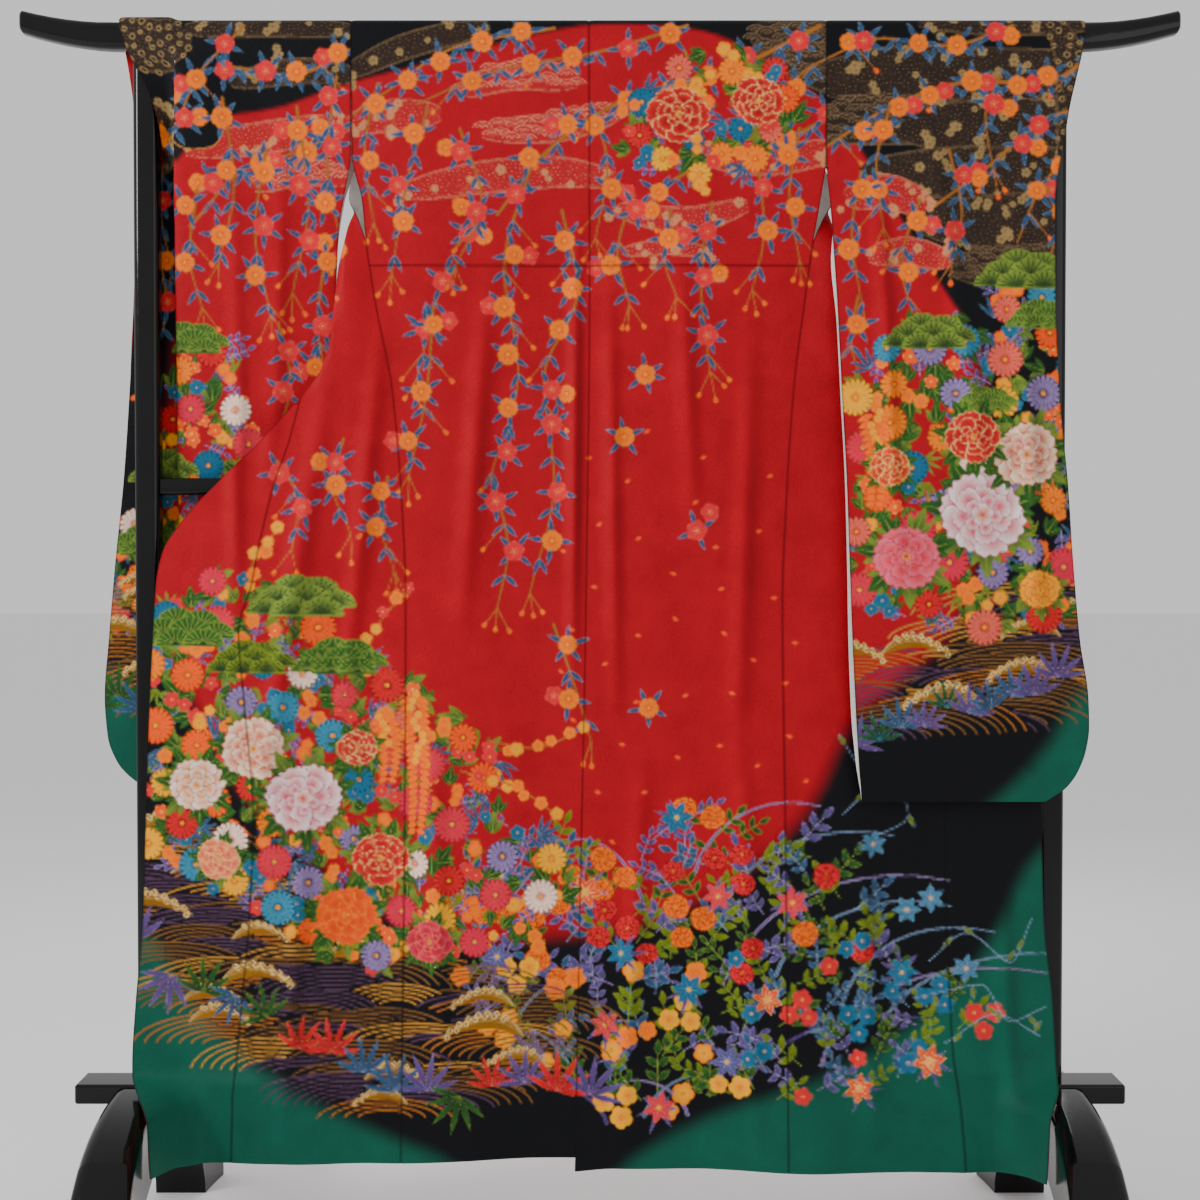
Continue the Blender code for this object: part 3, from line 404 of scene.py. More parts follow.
def folded_section(rows):
    """Section of the left near sleeve layer through its standing fold."""
    names = ("inner", "half", "lip", "tuck", "back", "cuff")
    xs = [curve(rows, name + "_x") for name in names]
    ys = [curve(rows, name + "_y") for name in names]

    def section(z):
        points = [(float(x(z)), float(y(z))) for x, y in zip(xs, ys)]
        lip, tuck = points[2], points[3]
        strength = min(max((tuck[0] - lip[0]) / FOLD_OVERLAP, 0.0), 1.0)
        crest = (lip[0] + CREST_AHEAD, lip[1] - CREST_FORWARD * strength)
        return points[:2] + [crest] + points[2:]
    return section


def collar_side(side_x, lap, sign, heights):
    """Rows of the collar band along one front, from its lower end up to the rail."""
    section = front_section(side_x, lap, sign)
    edge_x, edge_y = curve(lap, "edge_x", sign), curve(lap, "edge_y")
    offsets = [curve(COLLAR_BAND, name) for name in Band._fields[1:]]
    rows = []
    for z in heights:
        x, y = section(z)[-1] if z >= OKUMI_TOP else (float(edge_x(z)), float(edge_y(z)))
        root_out, root_y, tip_out, tip_y, tip_z = (float(offset(z)) for offset in offsets)
        root = np.array([x + sign * root_out, y + root_y, z])
        tip = np.array([x + sign * tip_out, y + tip_y, z + tip_z])
        rows.append([root + (tip - root) * t for t in COLLAR_SHARES])
    return rows


def collar_neck(sign):
    """Rows of the collar band over the rail, from one side to the neck's middle."""
    rows = []
    for neck in COLLAR_NECK:
        row = []
        for t in COLLAR_SHARES:
            down = neck.root_down + (neck.tip_down - neck.root_down) * t
            y, z = over_rail(down, 1, NECK_LIFT)
            reach = neck.root_x + (neck.tip_x - neck.root_x) * t
            row.append(np.array([NECK_MIDDLE_X + sign * reach, y, z]))
        rows.append(row)
    return rows


def cuff_puff(x):
    """Height by which the left sleeve's cuff stands off the rail."""
    start, end = CUFF_PUFF_X
    t = np.clip((x - start) / (end - start), 0, 1)
    return CUFF_PUFF_LEFT * t * t * (3 - 2 * t)


# How finely the cloth's form is sampled, and how its two skins lie about the middle surface
ROW = 6.0
COLUMNS = 120
SKIN = 0.9
OVER_RAIL = RAIL_HALF_DEPTH - RAIL_CORNER + (RAIL_CORNER + CLOTH_FACE) * math.pi / 2
SEAM_DIP = 0.9
SEAM_DIP_WIDTH = 2.2
SEAM_CLOSED = 0.17
SEAM_SHADE = 0.6
SEAM_SHADE_WIDTH = 1.3
TUCK_Z = 1343.0
TUCK_LIFT = 1.0
TUCK_FADE = 16.0
CELL = 0.8
GROUND_STEP = 5
TURN_BELOW = 6.0
TURN_FINER = 2.0
TUCK_SHADE_WIDTH = 1.6
FOLD_STEP = 2.0
FOLD_SHADE = 0.9
FOLD_LIT = 0.12
FOLD_DARK = 0.42

# Main creases, each a soft ridge: x at its top, lean in x down to its foot, height range, size
Crease = namedtuple("Crease", "x lean high low half depth")
CREASES = rows_of(
    Crease,
    (-32, -6, 1420, 760, 9, 5.8), (12, 10, 1350, 700, 11, 4.4), (-150, -40, 1345, 820, 15, 5.1),
    (110, 16, 1360, 980, 13, 4.1), (-292, -60, 1300, 700, 14, 4.4), (205, -20, 1300, 640, 14, 4.1),
    (-360, -110, 1240, 560, 16, 4.4), (60, -30, 700, 140, 14, 4.1), (-230, 20, 760, 140, 15, 4.4),
    (190, 24, 720, 130, 15, 4.4), (-400, -30, 620, 140, 15, 4.1), (350, 20, 680, 130, 15, 4.1),
    (540, 20, 600, 130, 14, 3.7), (370, 30, 1500, 900, 11, 4.8), (440, 80, 1560, 1000, 14, 4.4),
    (560, 30, 1440, 760, 13, 4.1), (430, 160, 860, 640, 12, 5.1), (-430, -20, 1560, 1000, 13, 4.1),
    (-500, 10, 1500, 800, 12, 4.1))


class Form:
    """Where each point of a panel's flat drawing lies when the garment hangs.

    A point's row in the grid is its Z in the drawing, and its column is how far it lies across
    the panel from the panel's first edge. The first edge's X in the drawing is start.
    """

    def __init__(self, name, at, points, start, sign, flip=False, hem=None):
        self.name = name
        self.at = np.asarray(at, float)
        points = np.asarray(points, float)
        steps = np.linalg.norm(np.diff(points, axis=1), axis=2)
        self.length = steps.sum(axis=1)
        even = np.empty_like(points)
        for i, line in enumerate(points):
            run = np.concatenate([[0], np.cumsum(steps[i])])
            places = np.linspace(0, run[-1], points.shape[1])
            for k in range(3):
                even[i, :, k] = np.interp(places, run, line[:, k])
        edges = even[:, 1] - even[:, 0], even[:, -1] - even[:, -2]
        even[:, 0] -= SEAM_CLOSED * edges[0] / np.linalg.norm(edges[0], axis=1, keepdims=True)
        even[:, -1] += SEAM_CLOSED * edges[1] / np.linalg.norm(edges[1], axis=1, keepdims=True)
        self.points = even
        self.start = np.broadcast_to(np.asarray(start, float), self.at.shape)
        self.sign = sign
        self.flip = flip
        self.hem = hem
        self.tucked = name.startswith("back")
        sideways = np.gradient(even, axis=1) * sign
        upward = np.gradient(even, axis=0)
        normal = np.cross(sideways, upward) * (-1 if flip else 1)
        self.normals = normal / np.linalg.norm(normal, axis=2, keepdims=True)

    def end(self):
        """X in the drawing of the panel's second edge, for each row."""
        return self.start + self.sign * self.length

    def edge_x(self, z, share):
        """X in the drawing of a share of the way across the panel at a height."""
        begin = np.interp(z, self.at, self.start)
        return begin + self.sign * share * np.interp(z, self.at, self.length)

    def spot(self, x, z):
        """Row, column and distance from the nearer side edge for points of the drawing."""
        z = np.clip(z, self.at[0], self.at[-1])
        length = np.interp(z, self.at, self.length)
        share = np.clip((x - np.interp(z, self.at, self.start)) * self.sign / length, 0, 1)
        row = np.interp(z, self.at, np.arange(len(self.at)))
        return row, share * (self.points.shape[1] - 1), np.minimum(share, 1 - share) * length

    def sample(self, grid, row, column):
        i = np.clip(row.astype(int), 0, grid.shape[0] - 2)
        j = np.clip(column.astype(int), 0, grid.shape[1] - 2)
        u, v = (row - i)[:, None], (column - j)[:, None]
        return ((grid[i, j] * (1 - v) + grid[i, j + 1] * v) * (1 - u)
                + (grid[i + 1, j] * (1 - v) + grid[i + 1, j + 1] * v) * u)

    def place(self, x, z, offset, dip=0.0):
        """Places and normals in space of points of the drawing, off the middle surface."""
        row, column, inset = self.spot(x, z)
        normal = self.sample(self.normals, row, column)
        normal /= np.linalg.norm(normal, axis=1, keepdims=True)
        lift = offset - dip * np.exp(-(inset / SEAM_DIP_WIDTH) ** 2)
        if dip and self.tucked:
            lift = lift + TUCK_LIFT * np.exp(-(z - TUCK_Z) / TUCK_FADE) * (z > TUCK_Z)
        return self.sample(self.points, row, column) + normal * lift[:, None], normal

    def seam_shade(self, spots):
        """How much of its colour the silk keeps beside a seam, where it turns under."""
        inset = self.spot(spots[:, 0], spots[:, 1])[2]
        shade = SEAM_SHADE * np.exp(-(inset / SEAM_SHADE_WIDTH) ** 2)
        if self.tucked:
            shade = np.maximum(shade, SEAM_SHADE * np.exp(-((spots[:, 1] - TUCK_Z) / TUCK_SHADE_WIDTH) ** 2))
        return 1 - shade[:, None]

    def bottom(self, x):
        """Lowest Z of the panel at an X of the drawing."""
        return self.hem(x) if self.hem else np.full(np.shape(x), self.at[0])


def ripple(x, z):
    """Soft folds and small creases, alike in every layer, that fade out at the rail."""
    fade = np.clip((1640 - z) / 250, 0, 1)
    slow = np.sin(x / 61 + 0.8 * np.sin(z / 310)) * np.sin(z / 270 + x / 400)
    fine = np.sin(x / 23 + z / 520 + 1.3) * np.sin(z / 150 + x / 90)
    result = fade * (2.4 * slow + 0.6 * fine)
    for crease in CREASES:
        share = np.clip((crease.high - z) / (crease.high - crease.low), 0, 1)
        middle = crease.x + crease.lean * share
        result -= crease.depth * np.sin(math.pi * share) * np.exp(-((x - middle) / crease.half) ** 2)
    return result


def fold_shade(x, z):
    """How much of its colour the silk keeps on the two sides of its folds."""
    slope = (ripple(x + FOLD_STEP, z) - ripple(x - FOLD_STEP, z)) / (2 * FOLD_STEP)
    return 1 - np.clip(FOLD_SHADE * slope, -FOLD_LIT, FOLD_DARK)[:, None]


def hung_form(name, section, low, side, start, sign, top=HANG_TOP, lift=None, flip=False,
              hem=None, calm=1.0):
    """The form of a panel that hangs from the rail, or from a lower top edge."""
    heights = np.linspace(low, top, int((top - low) / ROW) + 2)
    shares = np.linspace(0, 1, COLUMNS + 1)
    rows = []
    for z in heights:
        line = across(section(z), shares)
        y = line[:, 1] + calm * ripple(line[:, 0], z)
        rows.append(np.column_stack([line[:, 0], y, np.full(len(line), z)]))
    at = list(heights)
    if top == HANG_TOP:
        last = rows[-1]
        for down in np.arange(OVER_RAIL - 1.5, 0, -1.5).tolist() + [HALF_SEAM]:
            y, z = over_rail(down, side)
            raised = lift(last[:, 0]) * (z - HANG_TOP) / (RAIL_CORNER + CLOTH_FACE) if lift else 0
            rows.append(np.column_stack([last[:, 0], np.full(len(last), y), z + raised
                                         + np.zeros(len(last))]))
            at.append(HANG_TOP + OVER_RAIL - down)
    starts = start(np.array(at)) if callable(start) else start
    return Form(name, at, rows, starts, sign, flip, hem)


def net(form, pitch, coarse):
    """Drawing points of a net over a panel: rows by columns, both counts divisible by coarse."""
    columns = coarse * max(2, round(form.length.mean() / pitch / coarse))
    base, top = form.at[0], form.at[-1]
    turn = min(HANG_TOP - TURN_BELOW, top) if top > HANG_TOP else (base + top) / 2
    finer = TURN_FINER if top > HANG_TOP else 1.0
    lower = coarse * max(1, round((turn - base) / pitch / coarse))
    upper = coarse * max(1, round((top - turn) * finer / pitch / coarse))
    middle = (turn - base) / (top - base)
    t = np.concatenate([np.linspace(0, middle, lower + 1)[:-1], np.linspace(middle, 1, upper + 1)])
    shares = np.linspace(0, 1, columns + 1)
    low = form.bottom(form.edge_x(base, shares))
    z = low + (top - low) * t[:, None]
    begin, length = np.interp(z, form.at, form.start), np.interp(z, form.at, form.length)
    return np.stack([begin + form.sign * shares * length, z], axis=2)


def edge_ring(rows, columns):
    """Rows and columns of a net's border points, once round."""
    r, c = np.arange(rows), np.arange(columns)
    ring_r = np.concatenate([np.zeros(columns - 1, int), r[:-1],
                             np.full(columns - 1, rows - 1), r[:0:-1]])
    ring_c = np.concatenate([c[:-1], np.full(rows - 1, columns - 1), c[:0:-1],
                             np.zeros(rows - 1, int)])
    return ring_r, ring_c


def net_triangles(colours):
    """Two triangles a cell, cut along the diagonal whose ends are more alike in colour."""
    rows, columns = colours.shape[:2]
    number = np.arange(rows * columns).reshape(rows, columns)
    a, b, c, d = (number[:-1, :-1].ravel(), number[:-1, 1:].ravel(), number[1:, 1:].ravel(),
                  number[1:, :-1].ravel())
    flat = colours.reshape(-1, colours.shape[2])
    rising = np.abs(flat[a] - flat[c]).sum(axis=1) <= np.abs(flat[b] - flat[d]).sum(axis=1)
    first = np.where(rising[:, None], np.stack([a, b, c], 1), np.stack([a, b, d], 1))
    second = np.where(rising[:, None], np.stack([a, c, d], 1), np.stack([b, c, d], 1))
    return np.concatenate([first, second])


def painted_sheet(form, picture, lining, trim, materials, pitch, coarse):
    """A closed double skin of silk: the painted face, the lining and a narrow rim between them.

    The lining has one point for every few of the face, as many as coarse says.
    """
    spots = net(form, pitch, coarse)
    rows, columns = spots.shape[:2]
    flat = spots.reshape(-1, 2)
    outer, outer_normals = form.place(flat[:, 0], flat[:, 1], SKIN, SEAM_DIP)
    paint = picture.sample(flat)
    paint[:, :3] *= form.seam_shade(flat) * fold_shade(outer[:, 0], outer[:, 2])
    front = net_triangles(paint.reshape(rows, columns, 4))
    sparse = spots[::coarse, ::coarse]
    back_flat = sparse.reshape(-1, 2)
    inside = lining(back_flat[:, 0], back_flat[:, 1])
    back = net_triangles(inside.reshape(*sparse.shape[:2], 4))[:, ::-1] + len(flat)
    ring_r, ring_c = edge_ring(rows, columns)
    ring = ring_r * columns + ring_c
    back_ring = ring_r // coarse * sparse.shape[1] + ring_c // coarse + len(flat)
    rim = []
    half = coarse // 2
    for k in range(0, len(ring), coarse):
        edge = [ring[(k + j) % len(ring)] for j in range(coarse + 1)]
        near, far = back_ring[k], back_ring[(k + coarse) % len(ring)]
        rim += [[edge[j + 1], edge[j], near if j < half else far] for j in range(coarse)]
        rim.append([edge[half], near, far])
    if (form.sign < 0) != form.flip:
        front, back = front[:, ::-1], back[:, ::-1]
        rim = [face[::-1] for face in rim]
    inner, inner_normals = form.place(back_flat[:, 0], back_flat[:, 1], -SKIN)
    mesh = bpy.data.meshes.new(form.name)
    mesh.from_pydata((np.concatenate([outer, inner]) * MM).tolist(), [],
                     front.tolist() + back.tolist() + rim)
    rim_paint = trim(form, picture, flat[ring])[np.arange(0, len(ring), coarse)]
    colours = np.concatenate([paint[front.ravel()], inside[back.ravel() - len(flat)],
                              np.repeat(rim_paint, 3 * (coarse + 1), axis=0)])
    layer = mesh.color_attributes.new("paint", "FLOAT_COLOR", "CORNER")
    layer.data.foreach_set("color", colours.astype(np.float32).ravel())
    for material in materials:
        mesh.materials.append(material)
    slots = np.repeat([0, 1, 2], [len(front), len(back), len(rim)]).astype(np.int32)
    mesh.polygons.foreach_set("material_index", slots)
    mesh.polygons.foreach_set("use_smooth", np.ones(len(slots), bool))
    normals = np.concatenate([outer_normals, -inner_normals])
    mesh.normals_split_custom_set_from_vertices(normals.tolist())
    made = bpy.data.objects.new(form.name, mesh)
    bpy.context.scene.collection.objects.link(made)
    return made


def tint(r, g, b):
    """A linear colour from display values of 0 to 255."""
    return np.array([((v / 255 + 0.055) / 1.055) ** 2.4 for v in (r, g, b)])


NAVY = tint(5, 6, 12)
RED = tint(168, 2, 24)
TEAL = tint(2, 84, 66)
GOLD = tint(188, 132, 52)
BRANCH = tint(168, 100, 36)
PALE_GOLD = tint(236, 196, 120)
CREAM = tint(246, 232, 200)
ORANGE = tint(248, 84, 4)
AMBER = tint(244, 132, 10)
CORAL = tint(216, 34, 34)
ROSE = tint(214, 50, 84)
PINK = tint(232, 112, 134)
PEACH = tint(244, 146, 104)
YELLOW = tint(240, 176, 24)
LILAC = tint(96, 72, 136)
PALE_LILAC = tint(150, 126, 176)
BLUE = tint(40, 84, 120)
SKY = tint(60, 134, 162)
SLATE = tint(42, 62, 92)
PALE_SLATE = tint(116, 140, 168)
LEAF = tint(46, 96, 30)
DARK_LEAF = tint(10, 46, 24)
PALE_LEAF = tint(122, 144, 50)
OLIVE = tint(116, 132, 18)
WHITE = tint(240, 236, 230)
RUST = tint(206, 56, 8)
ROSE_RED = tint(216, 40, 48)
PALE_CORAL = tint(222, 104, 84)
MAGENTA = tint(206, 30, 88)
TURQUOISE = tint(18, 104, 134)
PURPLE = tint(70, 50, 92)
MAUVE = tint(84, 56, 82)
OCHRE = tint(150, 98, 14)
BROWN_GOLD = tint(122, 82, 40)

# Inner, outer and line colours that go together
SLATES = (SLATE, BLUE, PALE_SLATE)
GREENS = (DARK_LEAF, LEAF, PALE_LEAF)
LILACS = (PURPLE, LILAC, PALE_LILAC)
SLATE_LILACS = (SLATE, LILAC, PALE_LILAC)
YELLOWS = (YELLOW, AMBER, RUST)
ORANGES = (ORANGE, AMBER, RUST)
CORALS = (CORAL, ROSE_RED, PALE_CORAL)
RED_PEONY = (RED, CORAL, PALE_GOLD)

# Outlines of petals and leaves: along and across, as shares of the length and the width
ROUND = ((0, 0.1), (0.3, 0.36), (0.65, 0.5), (0.93, 0.34), (1, 0), (0.93, -0.34), (0.65, -0.5),
         (0.3, -0.36), (0, -0.1))
NOTCHED = ((0, 0), (0.5, 0.46), (0.82, 0.5), (1, 0.22), (0.92, 0), (1, -0.22), (0.82, -0.5),
           (0.5, -0.46))
POINTED = ((0, 0.1), (0.4, 0.46), (0.62, 0.42), (1, 0), (0.62, -0.42), (0.4, -0.46), (0, -0.1))
LOBED = ((0, 0.14), (0.3, 0.42), (0.62, 0.56), (0.8, 0.5), (0.84, 0.34), (0.97, 0.26), (0.91, 0.08),
         (1.0, -0.06), (0.9, -0.2), (0.93, -0.36), (0.74, -0.54), (0.34, -0.44), (0, -0.14))
SPEAR = ((0, 0), (0.18, 0.3), (0.42, 0.5), (0.7, 0.36), (1, 0), (0.7, -0.36), (0.42, -0.5), (0.18, -0.3))
NARROW = ((0, 0), (0.6, 0.5), (0.92, 0.4), (1, 0), (0.92, -0.4), (0.6, -0.5))


class Art:
    """A flat drawing: outlines in painting order, each filled from its centre's colour outward."""

    def __init__(self, ground):
        self.ground = ground
        self.outlines = []
        self.fills = []

    def add(self, outline, inner, outer=None, centre=None, reach=None, shine=0.0):
        outline = np.asarray(outline, float)
        middle = outline.mean(axis=0) if centre is None else np.asarray(centre, float)
        if reach is None:
            reach = float(np.linalg.norm(outline - middle, axis=1).max())
        outer = inner if outer is None else outer
        self.outlines.append(outline)
        self.fills.append((middle, max(reach, 0.1), np.append(inner, shine), np.append(outer, shine)))


class Picture:
    """The drawing laid out as small cells of colour, to be sampled wherever the cloth has a point."""

    def __init__(self, art, low, high):
        self.low = np.array(low, float)
        self.ground = art.ground
        wide, tall = ((np.array(high) - self.low) / CELL).astype(int) + 1
        self.cells = self.ground_cells(wide, tall)
        for outline, fill in zip(art.outlines, art.fills):
            self.fill(outline, *fill)
        around = self.cells.copy()
        around[1:-1] = (self.cells[:-2] + 2 * self.cells[1:-1] + self.cells[2:]) / 4
        self.cells = around.copy()
        self.cells[:, 1:-1] = (around[:, :-2] + 2 * around[:, 1:-1] + around[:, 2:]) / 4

    def ground_cells(self, wide, tall):
        """The ground's colour, worked out on wider cells and blended between them."""
        xs = self.low[0] + np.arange(0, wide + GROUND_STEP, GROUND_STEP) * CELL
        zs = self.low[1] + np.arange(0, tall + GROUND_STEP, GROUND_STEP) * CELL
        grid_x, grid_z = np.meshgrid(xs, zs)
        rough = self.ground(grid_x.ravel(), grid_z.ravel()).reshape(len(zs), len(xs), 3)
        at_r, at_c = np.arange(tall) / GROUND_STEP, np.arange(wide) / GROUND_STEP
        r, c = at_r.astype(int), at_c.astype(int)
        u, v = (at_r - r)[:, None, None], (at_c - c)[None, :, None]
        lines = rough[r] * (1 - u) + rough[r + 1] * u
        cells = np.zeros((tall, wide, 4), np.float32)
        cells[:, :, :3] = lines[:, c] * (1 - v) + lines[:, c + 1] * v
        return cells

    def fill(self, outline, middle, reach, inner, outer):
        tall, wide = self.cells.shape[:2]
        a, c = ((outline.min(axis=0) - self.low) / CELL).astype(int)
        b, d = ((outline.max(axis=0) - self.low) / CELL).astype(int) + 1
        a, b, c, d = max(a, 0), min(b, wide), max(c, 0), min(d, tall)
        if a >= b or c >= d:
            return
        xs = self.low[0] + (np.arange(a, b) + 0.5) * CELL
        zs = self.low[1] + (np.arange(c, d) + 0.5) * CELL
        ax, az = outline.T
        bx, bz = np.roll(outline, -1, axis=0).T
        crossing = (az > zs[:, None]) != (bz > zs[:, None])
        rise = np.where(bz == az, 1.0, bz - az)
        cut = np.where(crossing, ax + (zs[:, None] - az) / rise * (bx - ax), -1e9)
        odd = (xs[None, :, None] < cut[:, None, :]).sum(axis=2) % 2 == 1
        t = np.hypot(xs[None, :] - middle[0], zs[:, None] - middle[1])[odd] / reach
        t = np.clip(t, 0, 1)[:, None]
        self.cells[c:d, a:b][odd] = inner * (1 - t) + outer * t

    def sample(self, spots):
        """Colours between the cells' middles; the fourth value is how much the paint shines."""
        tall, wide = self.cells.shape[:2]
        at = np.clip((spots - self.low) / CELL - 0.5, 0, (wide - 2, tall - 2))
        c, r = at.astype(int).T
        u, v = (at % 1).T[:, :, None]
        low = self.cells[r, c] * (1 - u) + self.cells[r, c + 1] * u
        high = self.cells[r + 1, c] * (1 - u) + self.cells[r + 1, c + 1] * u
        return (low * (1 - v) + high * v).astype(float)


def turned(template, x, z, angle, length, width):
    """A petal or leaf outline with its base at x, z and its tip along the angle."""
    along, sideways = np.array(template).T
    c, s = math.cos(angle), math.sin(angle)
    a, b = along * length, sideways * width
    return np.column_stack([x + a * c - b * s, z + a * s + b * c])


def off(x, z, angle, reach):
    """The point that lies a reach away from x, z along the angle."""
    return x + reach * math.cos(angle), z + reach * math.sin(angle)


def around(count, turn=0.0, shift=0):
    """Evenly spaced angles once round, from the turn on."""
    return [turn + (k + shift) * math.tau / count for k in range(count)]


def shrunk(outline, amount):
    """The outline drawn in towards its middle by about the amount."""
    middle = outline.mean(axis=0)
    reach = np.linalg.norm(outline - middle, axis=1).mean()
    return middle + (outline - middle) * max(0.2, 1 - amount / reach)


def lined(art, outline, line, inner, outer=None, centre=None, reach=None, width=0.9):
    """A shape with a painted line round it."""
    art.add(outline, line, shine=0.6)
    art.add(shrunk(outline, width), inner, outer, centre, reach)


def disc(x, z, radius, count=6, turn=0.0):
    """A small regular outline round a point."""
    angles = turn + np.arange(count) * 2 * math.pi / count
    return np.column_stack([x + radius * np.cos(angles), z + radius * np.sin(angles)])


def scalloped(x, z, radius, count, turn, depth=0.86, each=4):
    """The outline round a flower of so many petals."""
    angles = turn + np.arange(count * each) * 2 * math.pi / (count * each)
    phase = np.abs(np.sin((angles - turn) * count / 2 + math.pi / 2))
    radii = radius * (depth + (1 - depth) * phase ** 0.6)
    return np.column_stack([x + radii * np.cos(angles), z + radii * np.sin(angles)])


def stroke(points, widths):
    """The outline of a line along points, with a width at each."""
    points = np.asarray(points, float)
    along = np.gradient(points, axis=0)
    along /= np.linalg.norm(along, axis=1, keepdims=True)
    side = np.column_stack([-along[:, 1], along[:, 0]])
    half = np.broadcast_to(np.asarray(widths, float), len(points))[:, None] / 2
    return np.concatenate([points + side * half, (points - side * half)[::-1]])


def curved(points, each=6):
    """A smooth line through a few points."""
    points = np.asarray(points, float)
    run = run_along(points)
    return smooth(run, points, np.linspace(0, run[-1], each * (len(points) - 1) + 1))


def blossom(art, x, z, size, warm, rng):
    """A five-petalled blossom with a ring of small petals inside: orange, or coral with pale lines."""
    turn = rng.uniform(0, math.tau)
    radius = size / 2
    fill, edge, line = (ORANGE, AMBER * 0.9, RUST) if warm else CORALS
    art.add(scalloped(x, z, radius + 0.8, 5, turn, 0.74, 4), line, shine=0.5)
    for angle in around(5, turn):
        art.add(turned(NOTCHED, *off(x, z, angle, 1.5), angle, radius - 1.5, radius * 0.98), fill, edge,
                (x, z), radius)
    art.add(scalloped(x, z, radius * 0.5, 5, turn + 0.6, 0.5, 2), line)
    art.add(scalloped(x, z, radius * 0.36, 5, turn + 0.6, 0.5, 2), edge)
    art.add(disc(x, z, radius * 0.12, 5), YELLOW)


def plum(art, x, z, size, fill, edge, line, rng):
    """A round plum or cherry flower of one colour with a yellow heart."""
    turn = rng.uniform(0, math.tau)
    radius = size / 2
    art.add(scalloped(x, z, radius + 0.8, 5, turn, 0.74, 4), line, shine=0.5)
    for angle in around(5, turn):
        art.add(turned(ROUND, *off(x, z, angle, 0.8), angle, radius - 0.8, radius * 0.95), fill, edge,
                (x, z), radius)
    art.add(disc(x, z, radius * 0.22, 6), YELLOW, line)


def mum(art, x, z, size, inner, outer, rng, dark=0.35):
    """A chrysanthemum: two rings of narrow petals over a darker ground, and a round middle."""
    turn = rng.uniform(0, math.tau)
    radius = size / 2
    petals = max(12, int(size / 2.6))
    art.add(scalloped(x, z, radius + 1.0, petals, turn, 0.9, 2), inner * dark)
    width = math.tau * radius / petals
    for share, count, shift in ((1.0, petals, 0.0), (0.58, petals - 4, 0.5)):
        for angle in around(count, turn, shift):
            art.add(turned(NARROW, *off(x, z, angle, radius * share * 0.22), angle, radius * share * 0.78,
                           width * 0.66 * (0.6 + 0.4 * share)), inner, outer, (x, z), radius * share)
    art.add(disc(x, z, radius * 0.15, 6, turn), YELLOW, AMBER)


def peony(art, x, z, size, deep, pale, line, rng):
    """A peony: rings of lobed petals, each deep at its base and pale at its rim."""
    turn = rng.uniform(0, math.tau)
    radius = size / 2
    flat = rng.uniform(0.86, 0.97)
    for ring, (count, reach, width) in enumerate(((8, 1.0, 0.86), (7, 0.74, 0.74), (5, 0.5, 0.62))):
        for k in range(count):
            angle = turn + ring * 0.45 + (k + rng.uniform(-0.14, 0.14)) * math.tau / count
            grow = radius * reach * rng.uniform(0.9, 1.04)
            petal = turned(LOBED, 0, 0, angle, grow, radius * width * reach)
            base = np.array([x, z]) + grow * 0.6 * np.array([math.cos(angle), flat * math.sin(angle)])
            petal = np.column_stack([x + petal[:, 0], z + flat * petal[:, 1]])
            lined(art, petal, line, deep, pale, base, grow * 0.46, 1.2)
    for angle in around(5, turn):
        lined(art, turned(ROUND, x, z, angle, radius * 0.26, radius * 0.24), line, deep, pale, (x, z),
              radius * 0.3, 0.7)
    for angle in around(7, turn):
        art.add(disc(*off(x, z, angle, radius * 0.09), radius * 0.035, 4), YELLOW)


def star(art, x, z, size, inner, outer, line, rng, count=6):
    """A lily or bellflower with pointed petals."""
    turn = rng.uniform(0, math.tau)
    radius = size / 2
    for angle in around(count, turn):
        lined(art, turned(POINTED, x, z, angle, radius, radius * 3.1 / count), line, inner, outer, (x, z),
              radius, 0.9)
        art.add(turned(((0.1, 0.03), (0.75, 0), (0.1, -0.03)), x, z, angle, radius, radius * 1.6), line)
    art.add(disc(x, z, radius * 0.15, 5, turn), YELLOW)


def leaf(art, x, z, angle, length, width, inner, outer, line, rib=None):
    """A leaf with a painted edge, and a rib where one is asked for."""
    outline = turned(SPEAR, x, z, angle, length, width)
    lined(art, outline, line, inner, outer, (x, z), length, 0.8)
    if rib is not None:
        art.add(turned(((0.06, 0.04), (0.9, 0), (0.06, -0.04)), x, z, angle, length, width * 2), rib)


def green_leaf(art, x, z, angle, length, rng):
    """A broad dark leaf with pale veins, as under a peony."""
    for bend, share in ((-0.6, 0.74), (0.6, 0.74), (0, 1.0)):
        dark = rng.random() < 0.7
        leaf(art, x, z, angle + bend, length * share, length * 0.4 * share, DARK_LEAF,
             LEAF if dark else PALE_LEAF, LEAF if dark else OLIVE, PALE_LEAF)


def blade_spray(art, x, z, angle, size, inner, outer, line, count=6, spread=2.2):
    """Slender blades fanned out from one point, as of bamboo, fern or a lily's leaves."""
    for bend in np.linspace(-spread / 2, spread / 2, count):
        length = size * (1 - 0.16 * abs(bend))
        leaf(art, x, z, angle + bend, length, size * 0.15, inner, outer, line)


def rosette(art, x, z, size, rng):
    """Slender slate-blue leaves that stand out round a blossom."""
    turn = rng.uniform(0, math.tau)
    count = rng.choice((4, 5, 6))
    for angle in around(count, turn):
        angle += rng.uniform(-0.18, 0.18)
        leaf(art, *off(x, z, angle, size * 0.26), angle, size * rng.uniform(0.74, 1.0), size * 0.25,
             *SLATES)


